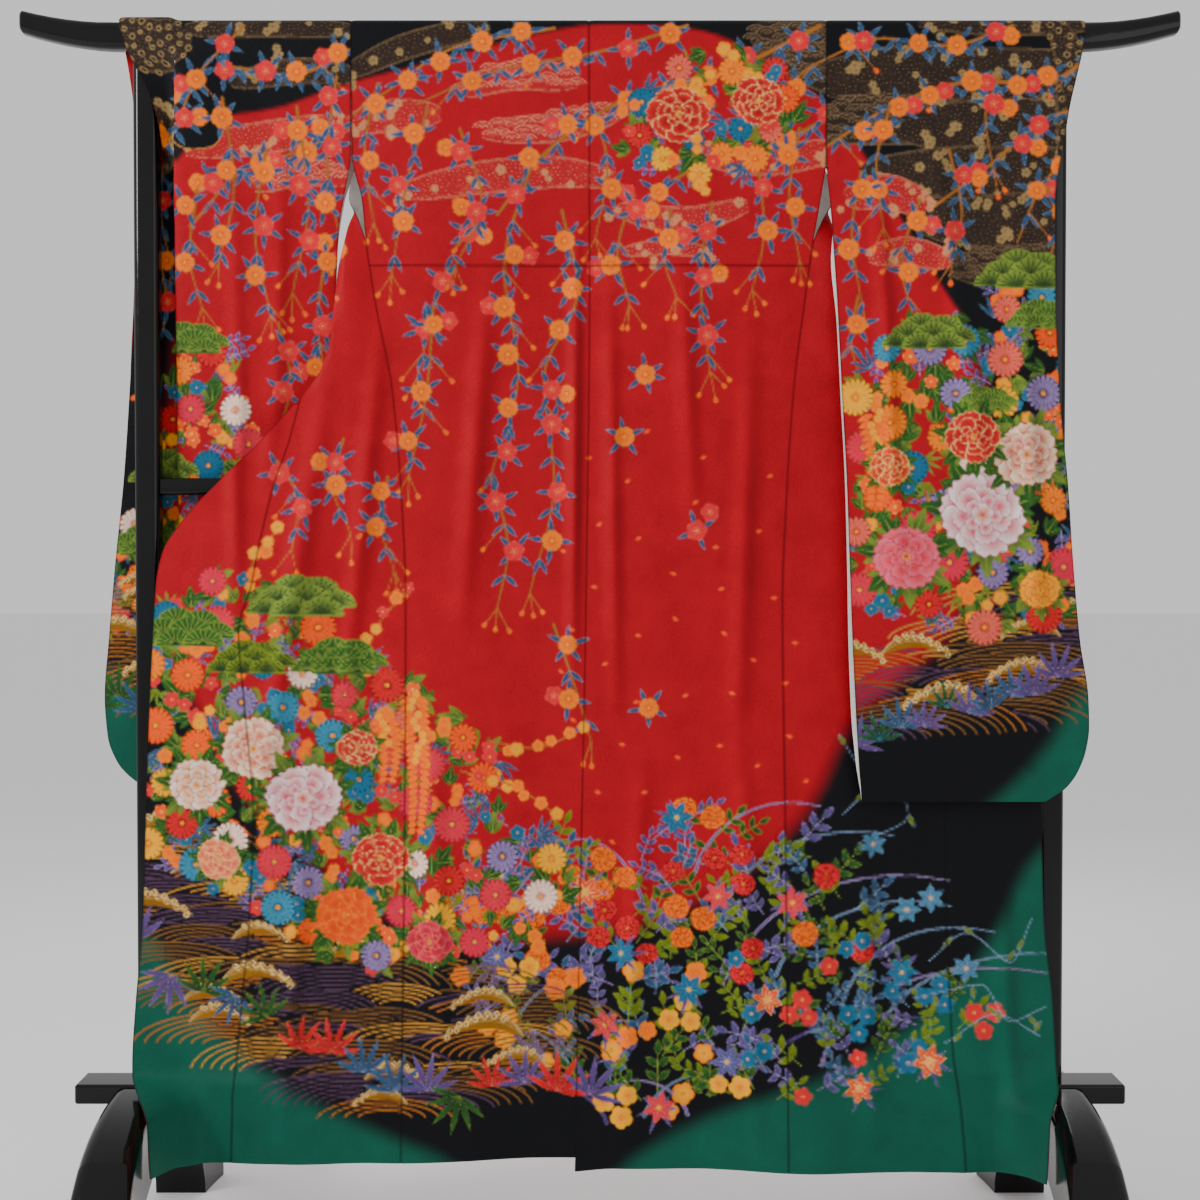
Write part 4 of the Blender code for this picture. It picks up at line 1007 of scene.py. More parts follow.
def spray(art, points, rng, widths=(4.2, 2.0), step=70, size=27, buds=True):
    """A cherry branch: blossoms in their rosettes along it, leaves and twigs between."""
    spine = curved(points)
    run = run_along(spine)
    art.add(stroke(spine, np.interp(run, (0, run[-1]), widths)), BROWN_GOLD, shine=0.4)
    art.add(stroke(spine, np.interp(run, (0, run[-1]), widths) * 0.6), BRANCH, shine=0.4)
    count = max(1, int(run[-1] / step))
    for k in range(count):
        mid = np.array([np.interp(step * (k + 0.98), run, spine[:, i]) for i in (0, 1)])
        for bend in (0.62, -0.62):
            leaf(art, *mid, -math.pi / 2 + bend + rng.uniform(-0.3, 0.3), size * 0.9, size * 0.25,
                 *SLATES)
        if rng.random() < 0.45:
            twig(art, *mid, -math.pi / 2 + rng.choice((-0.7, 0.7)), size * 1.5, rng)
    for k in range(count):
        x, z = (np.interp(step * (k + 0.5) + rng.uniform(-12, 12), run, spine[:, i]) for i in (0, 1))
        side = rng.choice((-1, 1))
        x, z = x + side * rng.uniform(2, 12), z + rng.uniform(-4, 4)
        rosette(art, x, z, size, rng)
        warm = rng.random() < 0.55
        if rng.random() < 0.3:
            blossom(art, x + side * size * 0.75, z + rng.uniform(-7, 7), size * 0.9, not warm, rng)
        blossom(art, x, z, size * rng.uniform(0.92, 1.08), warm, rng)
    if buds:
        for bend in (-0.5, 0.1, 0.6)[:rng.choice((2, 3))]:
            twig(art, *spine[-1], -math.pi / 2 + bend + rng.uniform(-0.2, 0.2),
                 size * rng.uniform(0.7, 1.3), rng)


def twig(art, x, z, angle, length, rng):
    """A thin twig with a bud at its tip."""
    tip = off(x, z, angle, length)
    art.add(stroke([(x, z), tip], [1.8, 1.2]), BRANCH)
    fill = rng.choice((ORANGE, CORAL))
    art.add(turned(ROUND, *tip, angle, 9.5, 8), RUST)
    art.add(turned(ROUND, *tip, angle, 8, 6), fill, AMBER)


def mist(art, points, thick, colours, rng, kind="flowers"):
    """A long band of gold mist, with a fine pattern of flowers, waves or rings in it."""
    fill, line = colours
    spine = curved(points, 5)
    share = np.linspace(0.06, math.pi - 0.06, len(spine))
    taper = np.sin(share) ** 0.3
    region = stroke(spine, thick * taper)
    for inset, colour in ((0, line), (1.8, fill * 0.8), (4.2, line), (5.6, fill)):
        art.add(stroke(spine, (thick - inset) * taper), colour, shine=0.4)
    within = stroke(spine, (thick - 9) * taper)
    if kind == "waves":
        for x, z in sorted(scatter(within, 12, 3000, rng), key=lambda spot: -spot[1]):
            for radius in (10, 6.2, 2.6):
                angles = np.linspace(0.2, math.pi - 0.2, 7)
                for inset, colour in ((0, line), (1.2, fill)):
                    arc = np.column_stack([x + 1.4 * (radius - inset) * np.cos(angles),
                                           z + (radius - inset) * np.sin(angles)])
                    art.add(arc, colour)
        return
    for x, z in scatter(within, 4.6, 9000, rng):
        art.add(disc(x, z, rng.uniform(0.7, 1.2), 5), line, shine=0.4)
    if kind == "rings":
        for x, z in scatter(region, 12, 2500, rng):
            radius = rng.uniform(3.6, 5.2)
            art.add(disc(x, z, radius, 8), PALE_GOLD * 0.8, line, shine=0.8)
            art.add(disc(x, z, radius - 1.8, 7), NAVY)
        return
    for x, z in scatter(within, 34, 500, rng):
        for _ in range(rng.choice((1, 2, 3, 4))):
            turn = rng.uniform(0, 1)
            size = rng.uniform(4.5, 7.5)
            for angle in around(5, turn):
                art.add(turned(NOTCHED, x, z, angle, size, size * 0.8), fill * 0.4 + PALE_GOLD * 0.42,
                        line, shine=0.5)
            art.add(disc(x, z, size * 0.2, 5), fill)
            x, z = x + rng.uniform(-12, 12), z + rng.choice((-1, 1)) * rng.uniform(5, 10)


def pine(art, x, z, size, rng, light=None):
    """A flat cloud of pine needles: overlapping fans with rounded tops."""
    light = rng.choice((PALE_LEAF, OLIVE, LEAF)) if light is None else light
    fans = ((-0.12, 0.2, 0.24), (0.16, 0.17, 0.24), (-0.3, 0.07, 0.24), (0.36, 0.04, 0.22),
            (0.03, 0.07, 0.26), (-0.45, -0.04, 0.2), (-0.14, -0.06, 0.24), (0.2, -0.06, 0.24))
    for dx, dz, share in fans:
        cx, cz, r = x + dx * size, z + dz * size, size * share
        angles = np.linspace(-0.15, math.pi + 0.15, 19)
        radii = r * (0.94 + 0.06 * np.abs(np.cos(angles * 5)))
        fan = np.column_stack([cx + radii * np.cos(angles) * 1.1, cz + radii * np.sin(angles) * 0.82])
        lined(art, fan, PALE_LEAF, DARK_LEAF, light, (cx, cz), r * 0.9, 1.6)
        for angle in np.linspace(0.1, math.pi - 0.1, 10):
            tip = (cx + 1.02 * r * math.cos(angle), cz + 0.76 * r * math.sin(angle))
            foot = (cx + 0.2 * r * math.cos(angle), cz + 0.12 * r * math.sin(angle))
            art.add(stroke([foot, tip], [1.0, 1.6]), PALE_LEAF if light is LEAF else DARK_LEAF)


def wisteria(art, x, z, length, rng):
    """A hanging column of paired drooping orange petals that narrows downward."""
    count = int(length / 9)
    for k in range(count):
        share = k / count
        reach = 25 * (1 - 0.45 * share)
        px = x + 6 * math.sin(share * 3)
        for side in (-1, 1):
            lined(art, turned(SPEAR, px, z - k * 9, -math.pi / 2 + side * 1.15, reach, 10), RUST, ORANGE,
                  AMBER, width=1.0)
        if k < count / 2:
            plum(art, px + rng.uniform(-9, 9), z - k * 9 + 3, 12, *YELLOWS, rng)


def covered(points, waves):
    """Which points lie behind any of the waves."""
    hidden = np.zeros(len(points), bool)
    for x, z, half, height in waves:
        level = ((points[:, 0] - x) / half) ** 2 + ((points[:, 1] - z) / height) ** 2
        hidden |= (points[:, 1] > z) & (level < 1)
    return hidden


def wave(art, shape, nearer, count, line, thick=2.3):
    """A rounded wave drawn as lines along its back, each only where no nearer wave hides it."""
    x, z, half, height = shape
    angles = np.linspace(0.1, math.pi - 0.1, 15)
    for share in 1 - np.arange(count) / (count + 1):
        points = np.column_stack([x + half * share * np.cos(angles),
                                  z + height * share * np.sin(angles)])
        shown = np.flatnonzero(~covered(points, nearer))
        for run in np.split(shown, np.flatnonzero(np.diff(shown) > 1) + 1):
            if len(run) > 2:
                art.add(stroke(points[run], thick), line, shine=0.8)


def foam(art, x, z, size, way, rng):
    """A breaking crest: an ochre back, dark lines under it and a rim of foam claws."""
    t = np.linspace(0, 1, 10)
    back = np.column_stack([x + way * size * (t - 0.5) * 1.5, z + size * 0.42 * np.sin(math.pi * t ** 0.8)])
    under = np.column_stack([x + way * size * (t - 0.5) * 1.4, z + size * 0.16 * np.sin(math.pi * t)])
    lined(art, np.concatenate([back, under[::-1]]), PALE_GOLD * 0.8, OCHRE * 0.8, OCHRE, width=1.2)
    for share in (0.5, 0.75):
        art.add(stroke(back * share + under * (1 - share), 1.1), PALE_GOLD * 0.5)
    for k in range(2, 9):
        px, pz = back[k]
        for step in (0.0, 0.5):
            angle = rng.uniform(-0.4, 0.9)
            cx = px + way * (step * size * 0.1)
            art.add(disc(cx, pz - size * 0.03 * k * step, size * 0.055, 7), PALE_GOLD, shine=0.7)
            art.add(disc(cx, pz - size * 0.03 * k * step, size * 0.028, 6), NAVY)
            art.add(stroke([(cx, pz), (cx + way * 5 * math.cos(angle), pz - 7)], [1.2, 0.8]), GOLD)


def wave_band(art, region, rng, gap=30):
    """Overlapping waves, the farther ones above, with breaking crests between them."""
    spots = sorted(scatter(region, gap, 2600, rng), key=lambda spot: -spot[1])
    waves = []
    for x, z in spots:
        half = rng.uniform(60, 130)
        waves.append((x, z, half, half * rng.uniform(0.26, 0.44)))
    lines = (BRANCH, BROWN_GOLD, MAUVE, GOLD, BROWN_GOLD, MAUVE)
    for k, shape in enumerate(waves):
        wave(art, shape, waves[k + 1:], max(2, int(shape[3] / 6)), lines[k % len(lines)])
    for x, z, half, height in waves[::6]:
        foam(art, x + rng.uniform(-20, 20), z + height * 0.7, rng.uniform(50, 80), rng.choice((-1, 1)), rng)


def grass(art, x, z, length, bend, line, width=2.4):
    """A long arched blade of grass."""
    t = np.linspace(0, 1, 11)
    points = np.column_stack([x + bend * length * t ** 1.5, z + length * (t - 0.52 * t ** 2.6)])
    art.add(stroke(points, width * (1 - 0.7 * t)), line)
    art.add(stroke(points, 0.5 * width * (1 - 0.8 * t)), line * 0.4)


def vine(art, points, rng, line=PALE_SLATE, leaf_size=20):
    """A thin tendril with a few leaves along it."""
    spine = curved(points, 8)
    art.add(stroke(spine, 1.4), line)
    for k in range(3, len(spine) - 1, 6):
        angle = rng.uniform(0.4, 2.6) * rng.choice((-1, 1))
        leaf(art, *spine[k], angle, leaf_size, leaf_size * 0.36, OLIVE * 0.6, OLIVE, line)


def scatter(region, gap, count, rng):
    """Points inside a region's outline, none nearer to another than the gap."""
    region = np.asarray(region, float)
    low, high = region.min(axis=0), region.max(axis=0)
    taken = {}
    found = []
    for _ in range(count):
        x, z = rng.uniform(low[0], high[0]), rng.uniform(low[1], high[1])
        cell = int(x // gap), int(z // gap)
        near = [spot for i in (-1, 0, 1) for j in (-1, 0, 1)
                for spot in taken.get((cell[0] + i, cell[1] + j), ())]
        if any((x - a) ** 2 + (z - b) ** 2 < gap * gap for a, b in near) or not inside(region, x, z):
            continue
        taken.setdefault(cell, []).append((x, z))
        found.append((x, z))
    return found


def inside(region, x, z):
    """Whether a point lies inside a region's outline."""
    a, b = region, np.roll(region, -1, axis=0)
    crossing = (a[:, 1] > z) != (b[:, 1] > z)
    rise = np.where(crossing, b[:, 1] - a[:, 1], 1.0)
    at = a[:, 0] + (z - a[:, 1]) / rise * (b[:, 0] - a[:, 0])
    return bool(np.sum(crossing & (x < at)) % 2)


def depth_inside(region, x, z):
    """Distance from a region's outline, positive inside it."""
    region = np.asarray(region, float)
    nearest = np.full(len(x), 1e9)
    odd = np.zeros(len(x), bool)
    for (ax, az), (bx, bz) in zip(region, np.roll(region, -1, axis=0)):
        ex, ez = bx - ax, bz - az
        t = np.clip(((x - ax) * ex + (z - az) * ez) / (ex * ex + ez * ez), 0, 1)
        nearest = np.minimum(nearest, np.hypot(x - ax - t * ex, z - az - t * ez))
        if az != bz:
            crossing = (az > z) != (bz > z)
            odd ^= crossing & (x < ax + (z - az) / (bz - az) * ex)
    return np.where(odd, nearest, -nearest)


def rounded(region, each=6):
    """A smooth closed outline through a region's points."""
    region = np.asarray(region, float)
    before, after = np.roll(region, 1, axis=0), np.roll(region, -1, axis=0)
    beyond = np.roll(region, -2, axis=0)
    pieces = []
    for t in np.arange(each) / each:
        pieces.append(0.5 * ((2 * region) + (after - before) * t
                             + (2 * before - 5 * region + 4 * after - beyond) * t * t
                             + (3 * region - before - 3 * after + beyond) * t ** 3))
    return np.stack(pieces, axis=1).reshape(-1, 2)


def blend_in(base, colour, depth, soft):
    """The colour laid over the base where depth is above zero, with an edge as soft as asked."""
    t = np.clip(0.5 + depth / soft, 0, 1)
    t = (t * t * (3 - 2 * t))[:, None]
    return base * (1 - t) + colour * t


def leaves_under(art, region, gap, rng, tries=4000):
    """The leaves between the flowers of a full bouquet."""
    for x, z in scatter(region, gap, tries, rng):
        kind = rng.random()
        angle = rng.uniform(0, math.tau)
        if kind < 0.66:
            green_leaf(art, x, z, angle, rng.uniform(26, 38), rng)
        elif kind < 0.82:
            sprig(art, x, z, angle, 36, rng.choice((PURPLE, SLATE)), LILAC, PALE_LILAC)
        elif kind < 0.93:
            blade_spray(art, x, z, angle, 34, *SLATES, 5, 2.0)
        else:
            blade_spray(art, x, z, angle, 30, OLIVE * 0.6, PALE_LEAF, PALE_LEAF, 4, 1.6)


def sprig(art, x, z, angle, length, inner, outer, line):
    """A stem with pairs of oval leaves and one at its tip."""
    c, s = math.cos(angle), math.sin(angle)
    art.add(stroke([(x, z), (x + length * c, z + length * s)], [1.4, 1.0]), line)
    for share in (0.25, 0.55):
        for bend in (-0.9, 0.9):
            leaf(art, x + length * share * c, z + length * share * s, angle + bend, length * 0.36,
                 length * 0.17, inner, outer, line)
    leaf(art, x + length * 0.8 * c, z + length * 0.8 * s, angle, length * 0.36, length * 0.17, inner, outer,
         line)


PLUM_COLOURS = (YELLOWS, ORANGES, CORALS,
                (ORANGE, ORANGE, PALE_GOLD), (AMBER, ORANGE, RUST), (BLUE, TURQUOISE, SKY))
MUM_COLOURS = ((ORANGE, AMBER), (BLUE, TURQUOISE), (MAGENTA, ROSE_RED), (CORAL, PALE_CORAL), (RED, CORAL),
               (ORANGE, ORANGE), (TURQUOISE, SKY), (PURPLE, PALE_LILAC), (ROSE, ROSE_RED),
               (AMBER, YELLOW), (PINK, CREAM), (RUST, ORANGE))


def small_flowers(art, region, gap, rng, tries=2500, size=19):
    """Little groups of plum blossoms in yellow, orange, coral and blue."""
    for x, z in scatter(region, gap, tries, rng):
        colours = rng.choice(PLUM_COLOURS)
        for _ in range(rng.choice((1, 2, 3))):
            plum(art, x, z, size * rng.uniform(0.75, 1.1), *colours, rng)
            x, z = x + rng.uniform(-size, size), z - rng.uniform(0.3, 0.8) * size


def mums(art, region, gap, rng, tries=2500, low=32, high=46):
    """Chrysanthemums scattered over a region."""
    for x, z in scatter(region, gap, tries, rng):
        mum(art, x, z, rng.uniform(low, high), *rng.choice(MUM_COLOURS), rng)


def petals_falling(art, region, gap, rng):
    """Loose petals, scattered over a region."""
    for x, z in scatter(region, gap, 400, rng):
        art.add(turned(POINTED, x, z, rng.uniform(-0.6, 0.6), 11, 6), ORANGE, CORAL)


def great_peonies(art, rows, rng):
    """Large peonies, each on a ring of broad leaves: place, size and its three colours."""
    for x, z, size, *colours in rows:
        for angle in around(7, 0.3):
            green_leaf(art, *off(x, z, angle, size * 0.3), angle, size * 0.42, rng)
        peony(art, x, z, size, *colours, rng)


def pines(art, rows, rng):
    """Clouds of pine needles: place, size and the colour of their light side."""
    for x, z, size, light in rows:
        pine(art, x, z, size, rng, light)


def boughs(art, rows, step, rng):
    """Thick cherry boughs with no buds at their ends: a line of points and its two widths."""
    for points, widths in rows:
        spray(art, points, rng, widths, step, buds=False)


def sprays(art, lines, rng):
    """Hanging cherry sprays, one along each line of points."""
    for points in lines:
        spray(art, points, rng)


# Where the colours of the ground meet, as outlines in the drawing
RED_BODY = ((-900, 1500), (-700, 1470), (-572, 1483), (-504, 1543), (-430, 1557), (-336, 1590),
            (-228, 1617), (-107, 1650), (0, 1668), (134, 1660), (215, 1625), (309, 1560),
            (400, 1480), (520, 1300), (560, 1100), (520, 900), (420, 790), (338, 720), (300, 640),
            (258, 579), (190, 520), (109, 470), (0, 440), (-136, 430), (-244, 440), (-366, 520),
            (-474, 620), (-555, 760), (-640, 850), (-800, 900))
TEAL_RIGHT = ((760, 640), (603, 552), (543, 443), (475, 348), (353, 266), (258, 225), (177, 198),
              (82, 156), (27, 115), (0, 60), (760, 60))
TEAL_LEFT = ((-760, 520), (-624, 443), (-570, 362), (-476, 266), (-367, 198), (-272, 156),
             (-204, 125), (-180, 60), (-760, 60))
RED_SLEEVE_LEFT = ((-604, 700), (-604, 1440), (-572, 1483), (-538, 1523), (-504, 1543),
                   (-430, 1557), (-336, 1590), (-200, 1620), (-200, 760), (-330, 740))
RED_SLEEVE_RIGHT = ((200, 1580), (309, 1556), (350, 1500), (411, 1389), (458, 1309), (500, 1240),
                    (515, 1161), (505, 1080), (500, 960), (473, 860), (406, 790), (338, 742),
                    (200, 720))
TEAL_SLEEVE_RIGHT = ((800, 820), (656, 775), (609, 702), (555, 641), (505, 590), (500, 500),
                     (800, 500))
TEAL_SLEEVE_LEFT = tuple((-x, z) for x, z in TEAL_SLEEVE_RIGHT)
SOFT_EDGE = 34.0
CRISP_EDGE = 5.0
SOFT_BELOW = 1250.0


def ground(red, teal_zones):
    """The ground's colour: blue-black, with the red field and the green corners laid over it."""
    red_zone = rounded(red, 4)
    teals = [rounded(zone, 4) for zone in teal_zones]

    def colour(x, z):
        base = np.broadcast_to(NAVY, (len(x), 3)).copy()
        soft = np.where(z > SOFT_BELOW, CRISP_EDGE, SOFT_EDGE)
        base = blend_in(base, RED, depth_inside(red_zone, x, z), soft)
        for zone in teals:
            base = blend_in(base, TEAL, depth_inside(zone, x, z), SOFT_EDGE)
        return base
    return colour


BAND_LEFT = ((-620, 872), (-520, 930), (-420, 905), (-360, 830), (-290, 800), (-200, 742),
             (-130, 690), (-150, 610), (-60, 560), (-40, 480), (-160, 420), (-330, 392), (-440, 440),
             (-520, 520), (-620, 560))
MEADOW = ((-180, 490), (-120, 540), (-54, 560), (20, 500), (80, 600), (150, 600), (216, 545),
          (270, 560), (338, 500), (405, 423), (500, 320), (440, 250), (300, 215), (150, 205),
          (27, 200), (-81, 251), (-180, 318))
WAVES_LEFT = ((-640, 560), (-541, 560), (-459, 475), (-365, 396), (-230, 396), (-81, 346),
              (-54, 268), (-162, 200), (-270, 180), (-405, 227), (-541, 302), (-640, 397))
BOUQUET_RIGHT = ((335, 1150), (378, 1235), (459, 1285), (520, 1250), (554, 1330), (650, 1312),
                 (660, 1163), (655, 946), (620, 875), (514, 855), (378, 875), (335, 912), (345, 1054))
WAVES_RIGHT = ((335, 775), (473, 837), (608, 905), (690, 880), (670, 780), (560, 712), (335, 700))
BOUQUET_LEFT = ((-640, 1150), (-573, 1240), (-510, 1245), (-480, 1160), (-470, 1040), (-640, 1030))
BOUQUET_TOP = ((30, 1549), (81, 1603), (162, 1641), (250, 1603), (262, 1535), (199, 1471),
               (108, 1462), (41, 1488))
RED_MIST = (tint(178, 30, 36), tint(212, 126, 98))
DARK_MIST = (tint(46, 34, 28), tint(122, 96, 66))


def draw_body():
    """The pattern of the body: cherry boughs above, a sweep of flowers and waves below."""
    rng = random.Random(41)
    art = Art(ground(RED_BODY, (TEAL_RIGHT, TEAL_LEFT)))
    mist(art, ((-345, 1602), (-260, 1640), (-150, 1668)), 36, DARK_MIST, rng)
    mist(art, ((345, 1590), (290, 1630), (210, 1668)), 90, DARK_MIST, rng, "waves")
    mist(art, ((-345, 1528), (-290, 1545), (-215, 1548)), 44, RED_MIST, rng)
    mist(art, ((-190, 1580), (-110, 1600), (-30, 1592)), 40, RED_MIST, rng, "waves")
    mist(art, ((-160, 1524), (-60, 1530), (30, 1552)), 40, RED_MIST, rng, "waves")
    mist(art, ((-268, 1442), (-160, 1462), (-60, 1470), (20, 1460)), 46, RED_MIST, rng)
    mist(art, ((20, 1420), (110, 1404), (200, 1424)), 36, RED_MIST, rng)
    mist(art, ((120, 1500), (210, 1486), (330, 1500)), 44, RED_MIST, rng)
    mist(art, ((30, 1362), (90, 1368), (150, 1360)), 22, RED_MIST, rng)
    boughs(art, (
        (((345, 1560), (240, 1510), (140, 1480), (40, 1420)), (7.5, 4)),
        (((300, 1668), (180, 1610), (40, 1570), (-70, 1500), (-140, 1410)), (7.5, 4)),
        (((120, 1668), (-10, 1630), (-130, 1610), (-250, 1560)), (5, 2.4)),
        (((-60, 1664), (-190, 1640), (-300, 1570), (-345, 1540)), (5, 2.4)),
        (((345, 1640), (270, 1600), (235, 1520)), (4, 2.2))
    ), 66, rng)
    sprays(art, (
        ((-300, 1590), (-318, 1500), (-306, 1400)), ((-232, 1560), (-262, 1450), (-282, 1330)),
        ((-170, 1420), (-214, 1320), (-250, 1190)), ((-190, 1530), (-160, 1430), (-196, 1340)),
        ((-96, 1470), (-130, 1340), (-112, 1200), (-150, 1060)),
        ((-52, 1420), (-30, 1310), (-78, 1190), (-64, 1050), (-96, 900)),
        ((-226, 1290), (-236, 1180), (-262, 1060)), ((-12, 1560), (10, 1480), (-6, 1380)),
        ((44, 1440), (24, 1360), (40, 1290)), ((96, 1420), (88, 1350), (104, 1300)),
        ((152, 1430), (136, 1330), (150, 1200)), ((214, 1480), (222, 1390), (206, 1310)),
        ((270, 1530), (256, 1440), (270, 1350)), ((-150, 1060), (-126, 960), (-140, 880)),
        ((-64, 860), (-36, 780), (-12, 700))
    ), rng)
    for side in (-1, 1):
        mist(art, ((side * 340, 1606), (side * 470, 1620), (side * 600, 1600)), 60, DARK_MIST, rng)
        mist(art, ((side * 345, 1480), (side * 440, 1500), (side * 560, 1470)), 50, RED_MIST, rng)
        for points in (((345, 1560), (440, 1540), (560, 1450)), ((420, 1550), (440, 1440), (410, 1330)),
                       ((500, 1500), (520, 1400), (500, 1290)), ((380, 1540), (372, 1430), (388, 1320))):
            spray(art, [(side * x, z) for x, z in points], rng)
    for points in (((-440, 1080), (-410, 1020), (-420, 960)), ((-350, 1110), (-366, 1050), (-340, 980)),
                   ((-290, 1060), (-300, 1000), (-280, 930))):
        spray(art, points, rng, step=50)
    leaves_under(art, BOUQUET_TOP, 21, rng, 1500)
    mums(art, BOUQUET_TOP, 40, rng, 900, 30, 40)
    small_flowers(art, BOUQUET_TOP, 34, rng, 600)
    peony(art, 106, 1548, 88, RED * 0.8, CORAL, PALE_GOLD, rng)
    peony(art, 214, 1566, 72, RED * 0.8, CORAL, PALE_GOLD, rng)
    petals_falling(art, ((-60, 1120), (250, 1120), (280, 640), (0, 560), (-60, 800)), 54, rng)
    for x, z in ((62, 1196), (34, 1112), (132, 985), (66, 745)):
        rosette(art, x, z, 26, rng)
        blossom(art, x, z, 27, z > 1000 or z < 800, rng)
    blossom(art, 150, 1010, 24, False, rng)
    draw_meadow(art, rng)
    draw_band(art, rng)
    return art


def draw_meadow(art, rng):
    """The lower right: arching grass, lilies and small flowers over the dark ground and the green."""
    for x, z, length, bend in ((60, 470, 190, -0.62), (130, 520, 190, 0.9), (170, 470, 210, 1.1),
                               (190, 400, 230, 1.25), (240, 380, 200, 1.2), (330, 340, 210, 1.0),
                               (-60, 480, 130, -0.7), (300, 260, 260, 1.2), (-40, 250, 120, -0.9),
                               (60, 190, 110, 1.0), (120, 190, 100, -1.0), (200, 230, 190, 1.3),
                               (10, 180, 110, -1.1), (380, 300, 220, 1.3), (-120, 300, 150, 0.8)):
        grass(art, x, z, length, bend, rng.choice((PALE_SLATE, PALE_LILAC, LILAC)), 5.0)
    for x, z in scatter(MEADOW, 25, 2500, rng):
        inner, outer, line = rng.choice(((OLIVE * 0.5, OLIVE, PALE_LEAF), GREENS,
                                         SLATE_LILACS, SLATES))
        sprig(art, x, z, rng.uniform(0.2, 2.9), rng.uniform(42, 62), inner, outer, line)
    upper = ((-180, 500), (20, 520), (90, 620), (170, 620), (300, 540), (340, 420), (150, 380), (-100, 400))
    lower = ((-180, 400), (150, 400), (180, 215), (27, 205), (-81, 251), (-180, 318))
    right = ((190, 400), (340, 470), (440, 400), (560, 300), (430, 225), (200, 215))
    for region, gap, low, high, colours in (
            (upper, 66, 34, 40, ((CORAL, ROSE_RED, RED * 0.5), (ORANGE, AMBER, RUST * 0.6))),
            (lower, 60, 25, 31, (YELLOWS, ORANGES, (AMBER, YELLOW, RUST))),
            (right, 58, 22, 27, (CORALS, (BLUE, TURQUOISE, PALE_SLATE)))):
        for x, z in scatter(region, gap, 900, rng):
            kind = rng.choice(colours)
            turn = rng.uniform(0, math.tau)
            for k in range(rng.choice((1, 2, 3))):
                size = rng.uniform(low, high)
                px, pz = x + 0.62 * size * math.cos(turn + 2 * k), z + 0.62 * size * math.sin(turn + 2 * k)
                if low > 30:
                    peony(art, px, pz, size, *kind, rng)
                else:
                    plum(art, px, pz, size, *kind, rng)
    for x, z in scatter(MEADOW, 92, 500, rng):
        inner, outer, line = rng.choice(((CORAL, ROSE, PALE_CORAL), (BLUE, TURQUOISE, SKY),
                                         (ORANGE, CORAL, PALE_GOLD), (BLUE, LILAC, PALE_LILAC)))
        blade_spray(art, x, z, rng.uniform(0, math.tau), 38, *SLATE_LILACS, 7, 5.4)
        star(art, x, z, rng.uniform(42, 50), inner, outer, line, rng)
    for points in (((350, 560), (420, 600), (400, 660), (460, 700)), ((330, 600), (360, 640), (330, 700)),
                   ((450, 400), (500, 440), (560, 400), (590, 460)), ((470, 290), (540, 330), (600, 300)),
                   ((430, 350), (520, 370), (560, 320), (610, 340))):
        vine(art, points, rng)
    for x, z in ((372, 560), (452, 486), (500, 392), (420, 470)):
        star(art, x, z, 40, rng.choice((BLUE, CORAL)), SKY, PALE_SLATE, rng)
    petals_falling(art, ((330, 720), (600, 720), (600, 640), (380, 620)), 66, rng)


def draw_band(art, rng):
    """The lower left: waves and bamboo under a full sweep of peonies and chrysanthemums."""
    wave_band(art, WAVES_LEFT, rng, 30)
    for x in np.arange(-630, 0, 44):
        z = 230 + 190 * max(0.0, (-x - 250) / 380) ** 1.2 + rng.uniform(-16, 16)
        inner, outer, line = rng.choice((LILACS, GREENS,
                                         SLATES, (RED, CORAL, PALE_CORAL)))
        blade_spray(art, x, z, rng.uniform(1.0, 2.1) * rng.choice((1, 1, -1)), rng.uniform(46, 66), inner,
                    outer, line, 6, 2.7)
    leaves_under(art, BAND_LEFT, 19, rng, 9000)
    small_flowers(art, BAND_LEFT, 34, rng, 2500, 20)
    mums(art, BAND_LEFT, 52, rng, 2500, 36, 50)
    for points in (((-330, 800), (-300, 860), (-262, 905)), ((-480, 900), (-470, 950), (-440, 985)),
                   ((-150, 700), (-90, 690), (-30, 712)), ((-190, 660), (-120, 640), (-60, 600))):
        spine = curved(points)
        art.add(stroke(spine, 2.2), BRANCH)
        for x, z in spine[2::2]:
            plum(art, x + rng.uniform(-9, 9), z + rng.uniform(-9, 9), rng.uniform(14, 20),
                 *rng.choice((YELLOWS, ORANGES, CORALS)),
                 rng)
    for x, z, length in ((-252, 760, 190), (-292, 730, 90)):
        wisteria(art, x, z, length, rng)
    pines(art, (
        (-560, 838, 110, LEAF), (-402, 880, 118, PALE_LEAF), (-350, 800, 104, LEAF),
        (-470, 800, 96, OLIVE)
    ), rng)
    great_peonies(art, (
        (-548, 640, 84, AMBER, WHITE, OCHRE), (-470, 690, 92, RUST, CREAM, RUST * 0.7),
        (-404, 622, 108, ROSE, WHITE, MAGENTA * 0.7), (-300, 540, 84, *RED_PEONY),
        (-348, 462, 88, RUST, ORANGE, AMBER), (-232, 428, 66, RED, ROSE, PALE_CORAL),
        (-330, 690, 60, *RED_PEONY), (-520, 540, 62, CORAL, PEACH, PALE_GOLD)
    ), rng)


